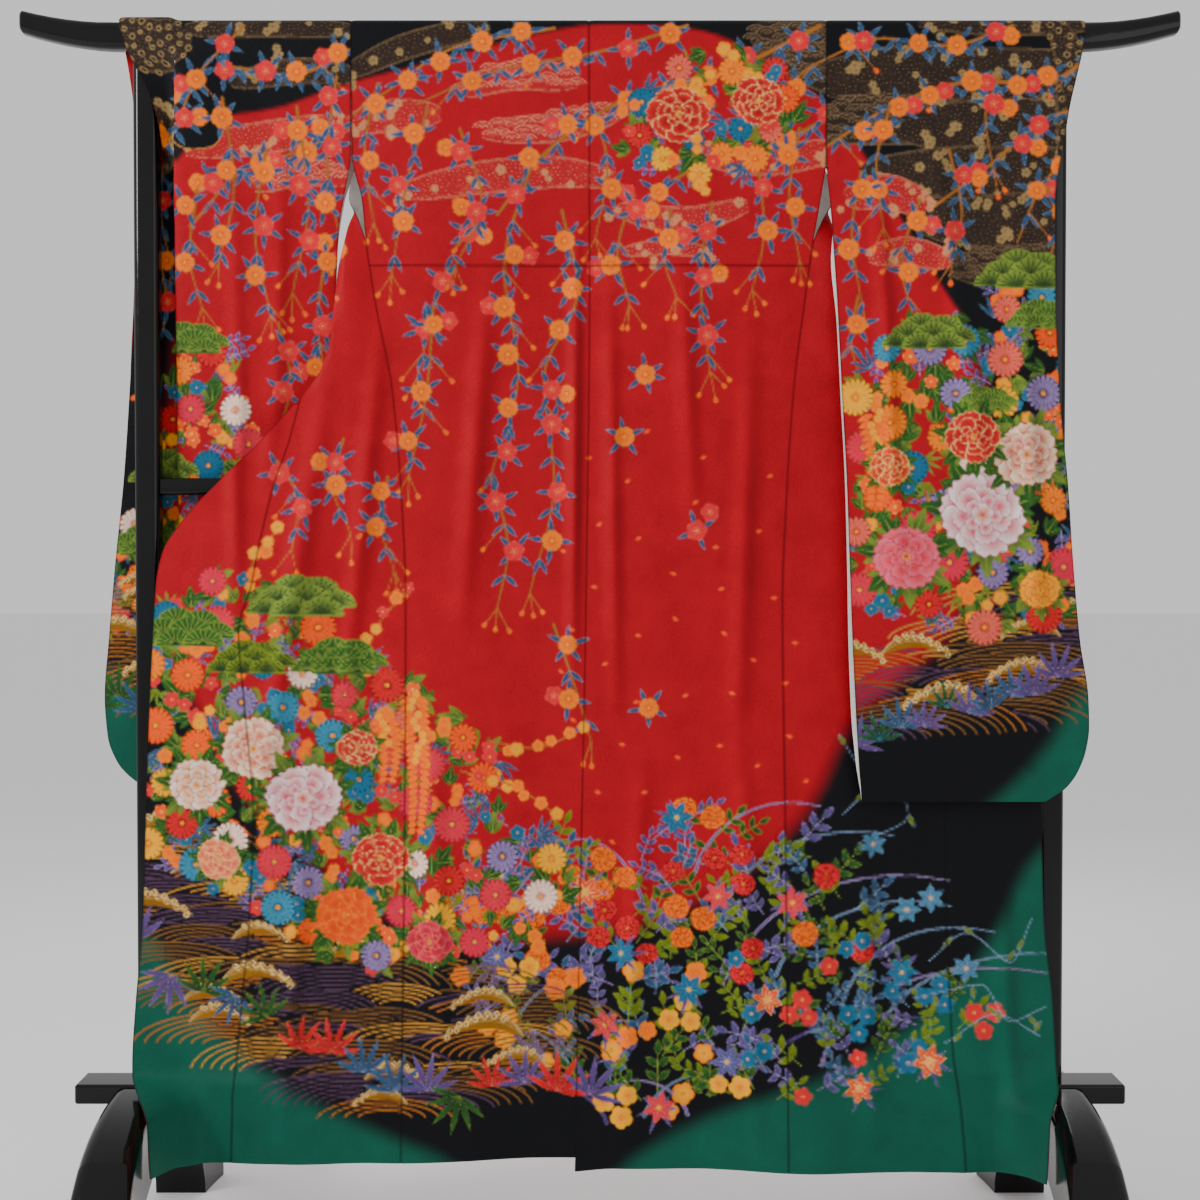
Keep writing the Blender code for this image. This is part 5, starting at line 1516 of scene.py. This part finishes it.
def draw_sleeve_right():
    """The right sleeve: misty boughs at the shoulder, a full bouquet, then waves."""
    rng = random.Random(52)
    art = Art(ground(RED_SLEEVE_RIGHT, (TEAL_SLEEVE_RIGHT,)))
    for points, thick, kind in ((((430, 1672), (540, 1668), (700, 1672)), 30, "flowers"),
                                (((280, 1590), (400, 1606), (520, 1600), (720, 1608)), 74, "flowers"),
                                (((280, 1530), (370, 1538), (470, 1530)), 66, "waves"),
                                (((400, 1530), (540, 1528), (730, 1534)), 78, "flowers"),
                                (((350, 1462), (520, 1466), (730, 1462)), 76, "flowers"),
                                (((430, 1396), (560, 1400), (730, 1394)), 76, "flowers"),
                                (((470, 1334), (580, 1338), (730, 1334)), 58, "waves"),
                                (((616, 1672), (640, 1600), (640, 1500), (620, 1400)), 50, "rings")):
        mist(art, points, thick, DARK_MIST, rng, kind)
    mist(art, ((330, 1432), (380, 1440), (440, 1420)), 50, RED_MIST, rng)
    mist(art, ((360, 1352), (410, 1358), (470, 1344)), 40, RED_MIST, rng)
    boughs(art, (
        (((680, 1640), (600, 1590), (500, 1590), (400, 1560), (300, 1500)), (7.5, 4.4)),
        (((680, 1560), (600, 1540), (530, 1480), (450, 1420)), (7, 4)),
        (((560, 1668), (470, 1640), (380, 1650), (300, 1620)), (5, 3)),
        (((640, 1500), (590, 1440), (560, 1370)), (5, 2.4))
    ), 56, rng)
    sprays(art, (
        ((392, 1560), (372, 1470), (380, 1390)), ((352, 1470), (338, 1380), (350, 1290)),
        ((430, 1430), (404, 1340), (420, 1270)), ((470, 1500), (486, 1410), (470, 1340)),
        ((600, 1450), (616, 1390), (604, 1350)), ((346, 1300), (336, 1240), (348, 1190)),
        ((540, 1600), (520, 1540), (530, 1470))
    ), rng)
    wave_band(art, WAVES_RIGHT, rng, 26)
    for x in np.arange(345, 640, 30):
        inner, outer, line = rng.choice((SLATES, LILACS,
                                         (DARK_LEAF, LEAF, SKY)))
        blade_spray(art, x, 700 + 0.3 * (x - 345) + rng.uniform(-12, 12), rng.uniform(1.1, 2.0),
                    rng.uniform(38, 54), inner, outer, line, 6, 2.6)
    leaves_under(art, BOUQUET_RIGHT, 19, rng, 6000)
    small_flowers(art, BOUQUET_RIGHT, 36, rng, 1800, 20)
    mums(art, BOUQUET_RIGHT, 48, rng, 1800, 36, 52)
    pines(art, (
        (575, 1318, 110, PALE_LEAF), (600, 1262, 84, LEAF), (444, 1236, 100, PALE_LEAF),
        (520, 1150, 70, LEAF)
    ), rng)
    wisteria(art, 366, 1140, 130, rng)
    great_peonies(art, (
        (512, 1006, 122, ROSE, WHITE, MAGENTA * 0.7), (410, 950, 100, ROSE_RED, PINK, ROSE * 0.6),
        (572, 1086, 96, RUST, CREAM, RUST * 0.7), (500, 1110, 80, *RED_PEONY),
        (590, 905, 62, AMBER, YELLOW, RUST), (388, 1070, 58, RED, ORANGE, PALE_GOLD)
    ), rng)
    return art


def draw_sleeve_left():
    """The left sleeve: dark clouds at the cuff, boughs over red, and flowers below."""
    rng = random.Random(63)
    art = Art(ground(RED_SLEEVE_LEFT, (TEAL_SLEEVE_LEFT,)))
    mist(art, ((-337, 1662), (-450, 1668), (-560, 1662)), 34, DARK_MIST, rng)
    mist(art, ((-560, 1660), (-600, 1640), (-690, 1650)), 74, DARK_MIST, rng, "rings")
    mist(art, ((-325, 1600), (-400, 1606), (-500, 1590)), 36, DARK_MIST, rng)
    mist(art, ((-337, 1536), (-430, 1520), (-560, 1500)), 44, RED_MIST, rng)
    mist(art, ((-337, 1462), (-400, 1470), (-470, 1452)), 34, RED_MIST, rng, "waves")
    mist(art, ((-600, 1560), (-640, 1500), (-680, 1540)), 60, DARK_MIST, rng)
    lined(art, rounded(((-582, 1520), (-560, 1545), (-528, 1545), (-508, 1532), (-520, 1505),
                        (-560, 1500)), 4), GOLD, NAVY, width=1.4)
    boughs(art, (
        (((-325, 1640), (-420, 1600), (-500, 1610), (-600, 1560)), (6, 3)),
        (((-325, 1540), (-400, 1500), (-470, 1480), (-560, 1400)), (5, 2.6)),
        (((-480, 1668), (-540, 1600), (-575, 1520)), (4, 2.4))
    ), 58, rng)
    sprays(art, (
        ((-356, 1600), (-370, 1480), (-352, 1370)), ((-410, 1560), (-396, 1440), (-420, 1310)),
        ((-452, 1500), (-470, 1390), (-450, 1280)), ((-510, 1570), (-496, 1460), (-520, 1350)),
        ((-372, 1380), (-386, 1270), (-366, 1150)), ((-546, 1450), (-560, 1360), (-544, 1290)),
        ((-440, 1270), (-424, 1190), (-440, 1120)), ((-620, 1540), (-640, 1440), (-620, 1340)),
        ((-650, 1400), (-630, 1300), (-650, 1200))
    ), rng)
    lower = ((-700, 1010), (-470, 1020), (-360, 960), (-360, 860), (-700, 850))
    for region, tries in ((BOUQUET_LEFT, 1500), (lower, 4000)):
        leaves_under(art, region, 20, rng, tries)
        small_flowers(art, region, 32, rng, tries // 3, 20)
        mums(art, region, 48, rng, tries // 3, 34, 46)
    wave_band(art, tuple((-x - 10, z) for x, z in WAVES_RIGHT), rng, 28)
    for x in np.arange(-700, -350, 32):
        inner, outer, line = rng.choice((SLATES, GREENS))
        blade_spray(art, x, 770 + rng.uniform(-40, 20), rng.uniform(1.1, 2.0), rng.uniform(38, 54), inner,
                    outer, line, 6, 2.6)
    for x, z, size in ((-610, 1060, 100), (-560, 1236, 90), (-640, 960, 90)):
        pine(art, x, z, size, rng)
    peony(art, -540, 940, 90, *RED_PEONY, rng)
    peony(art, -440, 920, 84, ROSE, WHITE, MAGENTA * 0.7, rng)
    return art


def draw_collar():
    """The collar: red, with one blossom after another along it."""
    rng = random.Random(74)
    art = Art(lambda x, z: np.broadcast_to(RED, (len(x), 3)).copy())
    for z in np.arange(60, 2200, 90):
        rosette(art, 28 + rng.uniform(-8, 8), z, 24, rng)
        blossom(art, 28, z, 25, rng.random() < 0.5, rng)
    return art


def node_tree(name):
    """A new Principled material with its tree, shader and texture coordinates ready."""
    made = bpy.data.materials.new(name)
    made.use_nodes = True
    tree = made.node_tree
    place = tree.nodes.new("ShaderNodeTexCoord")
    return made, tree, tree.nodes["Principled BSDF"], place.outputs["Object"]


def set_sockets(node, values):
    """Gives a node's sockets constant values, by name."""
    for name, value in values.items():
        node.inputs[name].default_value = value


def add_node(tree, kind, values=None, links=None):
    """A new shader node, with constant values and links for its sockets."""
    made = tree.nodes.new("ShaderNode" + kind)
    set_sockets(made, values or {})
    for name, source in (links or {}).items():
        tree.links.new(source, made.inputs[name])
    return made


def noise(tree, where, scale, detail=3.0, rough=0.55):
    values = {"Scale": scale, "Detail": detail, "Roughness": rough}
    return add_node(tree, "TexNoise", values, {"Vector": where}).outputs["Fac"]


def ranged(tree, value, low, high, start=0.0, end=1.0):
    values = {"From Min": low, "From Max": high, "To Min": start, "To Max": end}
    return add_node(tree, "MapRange", values, {"Value": value}).outputs["Result"]


def bump(tree, height, strength, distance, links=None):
    values = {"Strength": strength, "Distance": distance}
    return add_node(tree, "Bump", values, {"Height": height, **(links or {})}).outputs["Normal"]


def silk(name, crepe, rough, sheen):
    """Painted silk: the drawing's colours with the painted seam and fold shade in them, a crepe surface, and
    a shine on the gold lines.
    """
    made, tree, shader, where = node_tree(name)
    paint = add_node(tree, "Attribute")
    paint.attribute_name = "paint"
    worn = ranged(tree, noise(tree, where, 24, 4), 0.3, 0.7, 0.9, 1.08)
    thread = ranged(tree, noise(tree, where, 700, 2), 0.25, 0.75, 0.86, 1.12)
    both = add_node(tree, "Math")
    both.operation = "MULTIPLY"
    tree.links.new(worn, both.inputs[0])
    tree.links.new(thread, both.inputs[1])
    tone = add_node(tree, "VectorMath")
    tone.operation = "SCALE"
    tree.links.new(paint.outputs["Color"], tone.inputs[0])
    tree.links.new(both.outputs[0], tone.inputs["Scale"])
    tree.links.new(tone.outputs["Vector"], shader.inputs["Base Color"])
    tree.links.new(ranged(tree, paint.outputs["Alpha"], 0, 1, 0, 0.55), shader.inputs["Metallic"])
    tree.links.new(ranged(tree, paint.outputs["Alpha"], 0, 1, rough, 0.36), shader.inputs["Roughness"])
    set_sockets(shader, {"Specular IOR Level": 0.14, "Sheen Weight": sheen, "Sheen Roughness": 0.45})
    wrinkle = bump(tree, noise(tree, where, 34, 3), 0.35, 0.004)
    grain = bump(tree, noise(tree, where, 430, 2), crepe, 0.0006, {"Normal": wrinkle})
    tree.links.new(grain, shader.inputs["Normal"])
    return made


def lacquer(name):
    """Black lacquer over wood: glossy, with faint polishing marks and a soft wave in its surface."""
    made, tree, shader, where = node_tree(name)
    ramp = add_node(tree, "ValToRGB", links={"Fac": noise(tree, where, 9, 5)})
    ramp.color_ramp.elements[0].color = (0.002, 0.0019, 0.0022, 1)
    ramp.color_ramp.elements[1].color = (0.006, 0.0055, 0.0058, 1)
    tree.links.new(ramp.outputs["Color"], shader.inputs["Base Color"])
    marks = noise(tree, where, 160, 4, 0.7)
    tree.links.new(ranged(tree, marks, 0.35, 0.75, 0.07, 0.2), shader.inputs["Roughness"])
    set_sockets(shader, {"Specular IOR Level": 0.22, "Coat Weight": 0.06, "Coat Roughness": 0.05})
    tree.links.new(bump(tree, noise(tree, where, 22, 2), 0.08, 0.002), shader.inputs["Normal"])
    return made


# Red facings inside: the hem's top edge, the cuffs' place and width, and how softly each ends
HEM_FACING_TOP = 560
HEM_FACING_SOFT = 12
CUFF_X = 650
CUFF_FACING = 62
CUFF_FACING_SOFT = 10


def red_to_white(share):
    """Colours of the lining, from the red facing at 0 to the white silk at 1."""
    t = np.clip(share, 0, 1)[:, None]
    return np.hstack([RED * (1 - t) + WHITE * t, np.zeros((len(share), 1))])


def lining_body(x, z):
    """White silk inside, with the red facing of the hem below."""
    return red_to_white((z - HEM_FACING_TOP) / HEM_FACING_SOFT)


def lining_sleeve(x, z):
    """White silk inside a sleeve, with a red facing along the cuff."""
    return red_to_white((CUFF_X - CUFF_FACING - np.abs(x)) / CUFF_FACING_SOFT)


def lining_collar(x, z):
    """Red silk all over."""
    return red_to_white(np.zeros(len(x)))


def trim_of(colour, piped):
    """The rim's colours: piping where piped says so, and elsewhere the ground darkened by the painted seam
    shade.
    """
    def colour_at(form, art, spots):
        result = np.zeros((len(spots), 4))
        result[:, :3] = art.ground(spots[:, 0], spots[:, 1]) * (1 - SEAM_SHADE)
        result[piped(form, spots), :3] = colour
        return result
    return colour_at


def at_hem(form, spots):
    """Which points of the rim lie on the hem."""
    return spots[:, 1] < form.bottom(spots[:, 0]) + 1


def at_hem_or_cuff(form, spots):
    """Which points of the rim lie on the hem or the second side edge."""
    share = form.spot(spots[:, 0], spots[:, 1])[1] / (form.points.shape[1] - 1)
    return (share > 0.995) | at_hem(form, spots)


def body_forms():
    """The forms of the backs, the fronts and the okumi."""
    side_left, side_right = curve(SIDE_LEFT, "x"), curve(SIDE_RIGHT, "x")
    centre = curve(CENTRE_SEAM, "x")
    left = hung_form("back_left_silk", back_section(side_left, 0, 0), 126.5, -1, 0, 1,
                     hem=curve(HEM_BACK_LEFT, "z"))
    left.start = centre(left.at) - left.length
    right = hung_form("back_right_silk", back_section(side_right, 0, 0), 114.5, -1, 0, -1,
                      hem=curve(HEM_BACK_RIGHT, "z"))
    right.start = centre(right.at) + right.length
    forms = [left, right]
    for name, side, back, lap, sign, hem, okumi_hem in (
            ("left", side_left, left, LAP_LEFT, -1, HEM_FRONT_LEFT, HEM_OKUMI_LEFT),
            ("right", side_right, right, LAP_RIGHT, 1, HEM_FRONT_RIGHT, HEM_OKUMI_RIGHT)):
        low = min(row.z for row in hem) - 0.5
        front = hung_form("front_%s_silk" % name, front_section(side, lap, sign), low, 1,
                          lambda z, back=back: np.interp(z, back.at, back.start), sign,
                          hem=curve(hem, "z"))
        low = min(row.z for row in okumi_hem) - 0.5
        okumi = hung_form("okumi_%s_silk" % name, okumi_section(lap, sign), low, 1,
                          lambda z, front=front: np.interp(z, front.at, front.end()), sign,
                          top=OKUMI_PANEL_TOP, hem=curve(okumi_hem, "z"))
        forms += [front, okumi]
    return forms


def sleeve_forms():
    """The forms of both layers of each sleeve."""
    near = sleeve_section(SLEEVE_RIGHT_NEAR)
    far = sleeve_section(SLEEVE_RIGHT_FAR, near, JOINED_BELOW_RIGHT)
    inner = curve(SLEEVE_RIGHT_NEAR, "inner_x")
    forms = [hung_form("sleeve_right_back_silk", near, 620, -1, inner, 1),
             hung_form("sleeve_right_front_silk", far, 620, 1, inner, 1, flip=True)]
    near = folded_section(SLEEVE_LEFT_NEAR)
    far = sleeve_section(SLEEVE_LEFT_FAR, near, JOINED_BELOW_LEFT)
    inner = curve(SLEEVE_LEFT_NEAR, "inner_x")
    forms += [hung_form("sleeve_left_back_silk", near, 622, -1, inner, -1, lift=cuff_puff, calm=0.3),
              hung_form("sleeve_left_front_silk", far, 622, 1, inner, -1, lift=cuff_puff, flip=True,
                        calm=0.3)]
    return forms


def collar_form():
    """The collar band as one strip, from its left lower end over the neck to its right one."""
    heights = np.arange(COLLAR_END + 6, HANG_TOP, 12)
    left = collar_side(curve(SIDE_LEFT, "x"), LAP_LEFT, -1, heights) + collar_neck(-1)
    right = collar_side(curve(SIDE_RIGHT, "x"), LAP_RIGHT, 1, heights) + collar_neck(1)
    rows = np.array(left + right[-2::-1])
    rows[:, :, 1] += ripple(rows[:, :, 0], rows[:, :, 2])
    run = run_along(rows[:, 3])
    at = np.arange(0, run[-1], 5)
    flat = smooth(run, rows.reshape(len(rows), -1), at).reshape(len(at), -1, 3)
    wide = np.array([across(line, np.linspace(0, 1, 25)) for line in flat])
    return Form("collar_silk", at, wide, 0.0, 1, flip=True)


# Each panel's cut, as (distance down from the top, width) in metres. The widths are the usual sewn
# ones of an adult furisode, not measured on the pieces made here. The lengths, and where the okumi
# reaches its full width, are read from the photo, as the pieces' own are.
BACK_CUT = ((0.0, 0.32), (0.20, 0.32), (0.45, 0.30), (1.57, 0.30))
FRONT_CUT = ((0.0, 0.24), (1.57, 0.24))
OKUMI_CUT = ((0.0, 0.0), (0.24, 0.15), (1.03, 0.15))
SLEEVE_CUT = ((0.0, 0.34), (1.07, 0.34))
COLLAR_CUT = ((0.0, 0.055), (2.0, 0.055))

# Each panel's net pitch in mm, how many of its points the lining has one for, and its cut
Cut = namedtuple("Cut", "pitch coarse shape rests_on")
CUTS = {
    "back_left": Cut(2.4, 4, BACK_CUT, ("top_rail",)),
    "back_right": Cut(2.4, 4, BACK_CUT, ("top_rail",)),
    "front_left": Cut(3.0, 4, FRONT_CUT, ("top_rail",)),
    "front_right": Cut(3.0, 4, FRONT_CUT, ("top_rail",)),
    "okumi_left": Cut(2.4, 2, OKUMI_CUT, ("front_left_silk",)),
    "okumi_right": Cut(2.4, 2, OKUMI_CUT, ("front_right_silk",)),
    "sleeve_left_back": Cut(2.4, 4, SLEEVE_CUT, ("top_rail",)),
    "sleeve_left_front": Cut(3.8, 4, SLEEVE_CUT, ("top_rail",)),
    "sleeve_right_back": Cut(2.4, 4, SLEEVE_CUT, ("top_rail",)),
    "sleeve_right_front": Cut(3.8, 4, SLEEVE_CUT, ("top_rail",)),
    "collar": Cut(4.0, 4, COLLAR_CUT, ("top_rail",)),
}
SMOOTH_ABOVE = math.cos(math.radians(32))


def dress():
    stuffs = (silk("painted_silk_crepe", 0.5, 0.6, 0.03), silk("lining_silk", 0.15, 0.5, 0.03),
              silk("piping_silk", 0.2, 0.55, 0.03))
    hem, hem_and_cuff = trim_of(RED, at_hem), trim_of(RED, at_hem_or_cuff)
    picture = Picture(draw_body(), (-640, 90), (640, 1700))
    for form in body_forms():
        rim = hem_and_cuff if "okumi" in form.name else hem
        lay(form, picture, lining_body, rim, stuffs)
    right = Picture(draw_sleeve_right(), (290, 600), (680, 1700))
    left = Picture(draw_sleeve_left(), (-760, 600), (-320, 1700))
    for form in sleeve_forms():
        lay(form, right if "right" in form.name else left, lining_sleeve, hem_and_cuff, stuffs)
    lay(collar_form(), Picture(draw_collar(), (-10, -10), (70, 2300)), lining_collar, hem_and_cuff,
        stuffs)


def lay(form, picture, lining, rim, stuffs):
    """One panel's sheet, made at its cut's pitch and hung on the root body in place of the solid it stands
    for.
    """
    node = form.name[:-len("_silk")]
    cut = CUTS[node]
    made = painted_sheet(form, picture, lining, rim, stuffs, cut.pitch, cut.coarse)
    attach(made, "root")
    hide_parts(node)


def soften(mesh):
    """Normals that run smoothly over the facets of a curve and stay sharp at its corners."""
    faces = np.array([polygon.normal for polygon in mesh.polygons])
    areas = np.array([polygon.area for polygon in mesh.polygons])
    owner = np.repeat(np.arange(len(faces)), [polygon.loop_total for polygon in mesh.polygons])
    points = np.array([mesh.vertices[loop.vertex_index].co for loop in mesh.loops])
    place = np.unique(np.round(points / MM, 2), axis=0, return_inverse=True)[1].ravel()
    normals = np.empty_like(points)
    for spot in np.unique(place):
        corners = np.flatnonzero(place == spot)
        around = faces[owner[corners]]
        like = around @ around.T > SMOOTH_ABOVE
        normals[corners] = like @ (around * areas[owner[corners]][:, None])
    normals /= np.linalg.norm(normals, axis=1, keepdims=True)
    mesh.polygons.foreach_set("use_smooth", np.ones(len(faces), bool))
    mesh.normals_split_custom_set(normals.tolist())


def carry_over():
    """The stand's own solids keep their shape and get the lacquer."""
    coat = lacquer("black_lacquer")
    for name in ("top_rail", "post_left", "post_right", "crossbar", "bottom_board", "foot_left",
                 "foot_right"):
        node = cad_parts[name]
        node.data.materials.clear()
        node.data.materials.append(coat)
        soften(node.data)


# The studio, in metres and watts; each lamp is a square panel turned to the middle of the garment
WORLD_STRENGTH = 0.8
FLOOR_REACH = 30.0
FLOOR_PALE = 0.86
FLOOR_ROUGH = 0.7
LAMP_AIM = Vector((0, 0, 0.9))
LAMPS = (("key", (-2.9, -1.9, 2.3), 1.0, 74), ("fill", (2.2, -3.0, 1.6), 1.8, 14),
         ("back", (0.3, 2.6, 2.6), 2.0, 30))
# The camera: its place in metres, its pitch in degrees, and its focal length in frame widths
CAMERA_DISTANCE = 2.6
CAMERA_HEIGHT = 0.9481
CAMERA_DOWN = 1.27
FOCAL_SHARE = 1898 / 1200
SENSOR_WIDTH = 36


def place_object(name, data):
    """A new object in the scene."""
    made = bpy.data.objects.new(name, data)
    bpy.context.scene.collection.objects.link(made)
    return made


def floor():
    """A plain pale floor."""
    mesh = bpy.data.meshes.new("floor")
    corners = ((-1, -1), (1, -1), (1, 1), (-1, 1))
    mesh.from_pydata([(x * FLOOR_REACH, y * FLOOR_REACH, 0) for x, y in corners], [], [(0, 1, 2, 3)])
    pale, _, shader, _ = node_tree("pale_floor")
    set_sockets(shader, {"Base Color": (FLOOR_PALE, FLOOR_PALE, FLOOR_PALE, 1), "Roughness": FLOOR_ROUGH})
    mesh.materials.append(pale)
    place_object("floor", mesh)


def studio():
    """Pale floor, soft lights and the photograph's camera."""
    world = bpy.data.worlds.new("studio")
    world.use_nodes = True
    set_sockets(world.node_tree.nodes["Background"], {"Color": (1, 1, 1, 1), "Strength": WORLD_STRENGTH})
    bpy.context.scene.world = world
    floor()
    for name, spot, size, power in LAMPS:
        lamp = bpy.data.lights.new(name, "AREA")
        lamp.shape = "SQUARE"
        lamp.size = size
        lamp.energy = power
        made = place_object(name, lamp)
        made.location = spot
        made.rotation_euler = (LAMP_AIM - Vector(spot)).to_track_quat("-Z", "Y").to_euler()
    camera = bpy.data.cameras.new("camera")
    camera.sensor_width = SENSOR_WIDTH
    camera.lens = FOCAL_SHARE * SENSOR_WIDTH
    made = place_object("camera", camera)
    made.location = (0, -CAMERA_DISTANCE, CAMERA_HEIGHT)
    made.rotation_euler = (math.radians(90 - CAMERA_DOWN), 0, 0)
    bpy.context.scene.camera = made


def main():
    studio()
    carry_over()
    dress()


main()
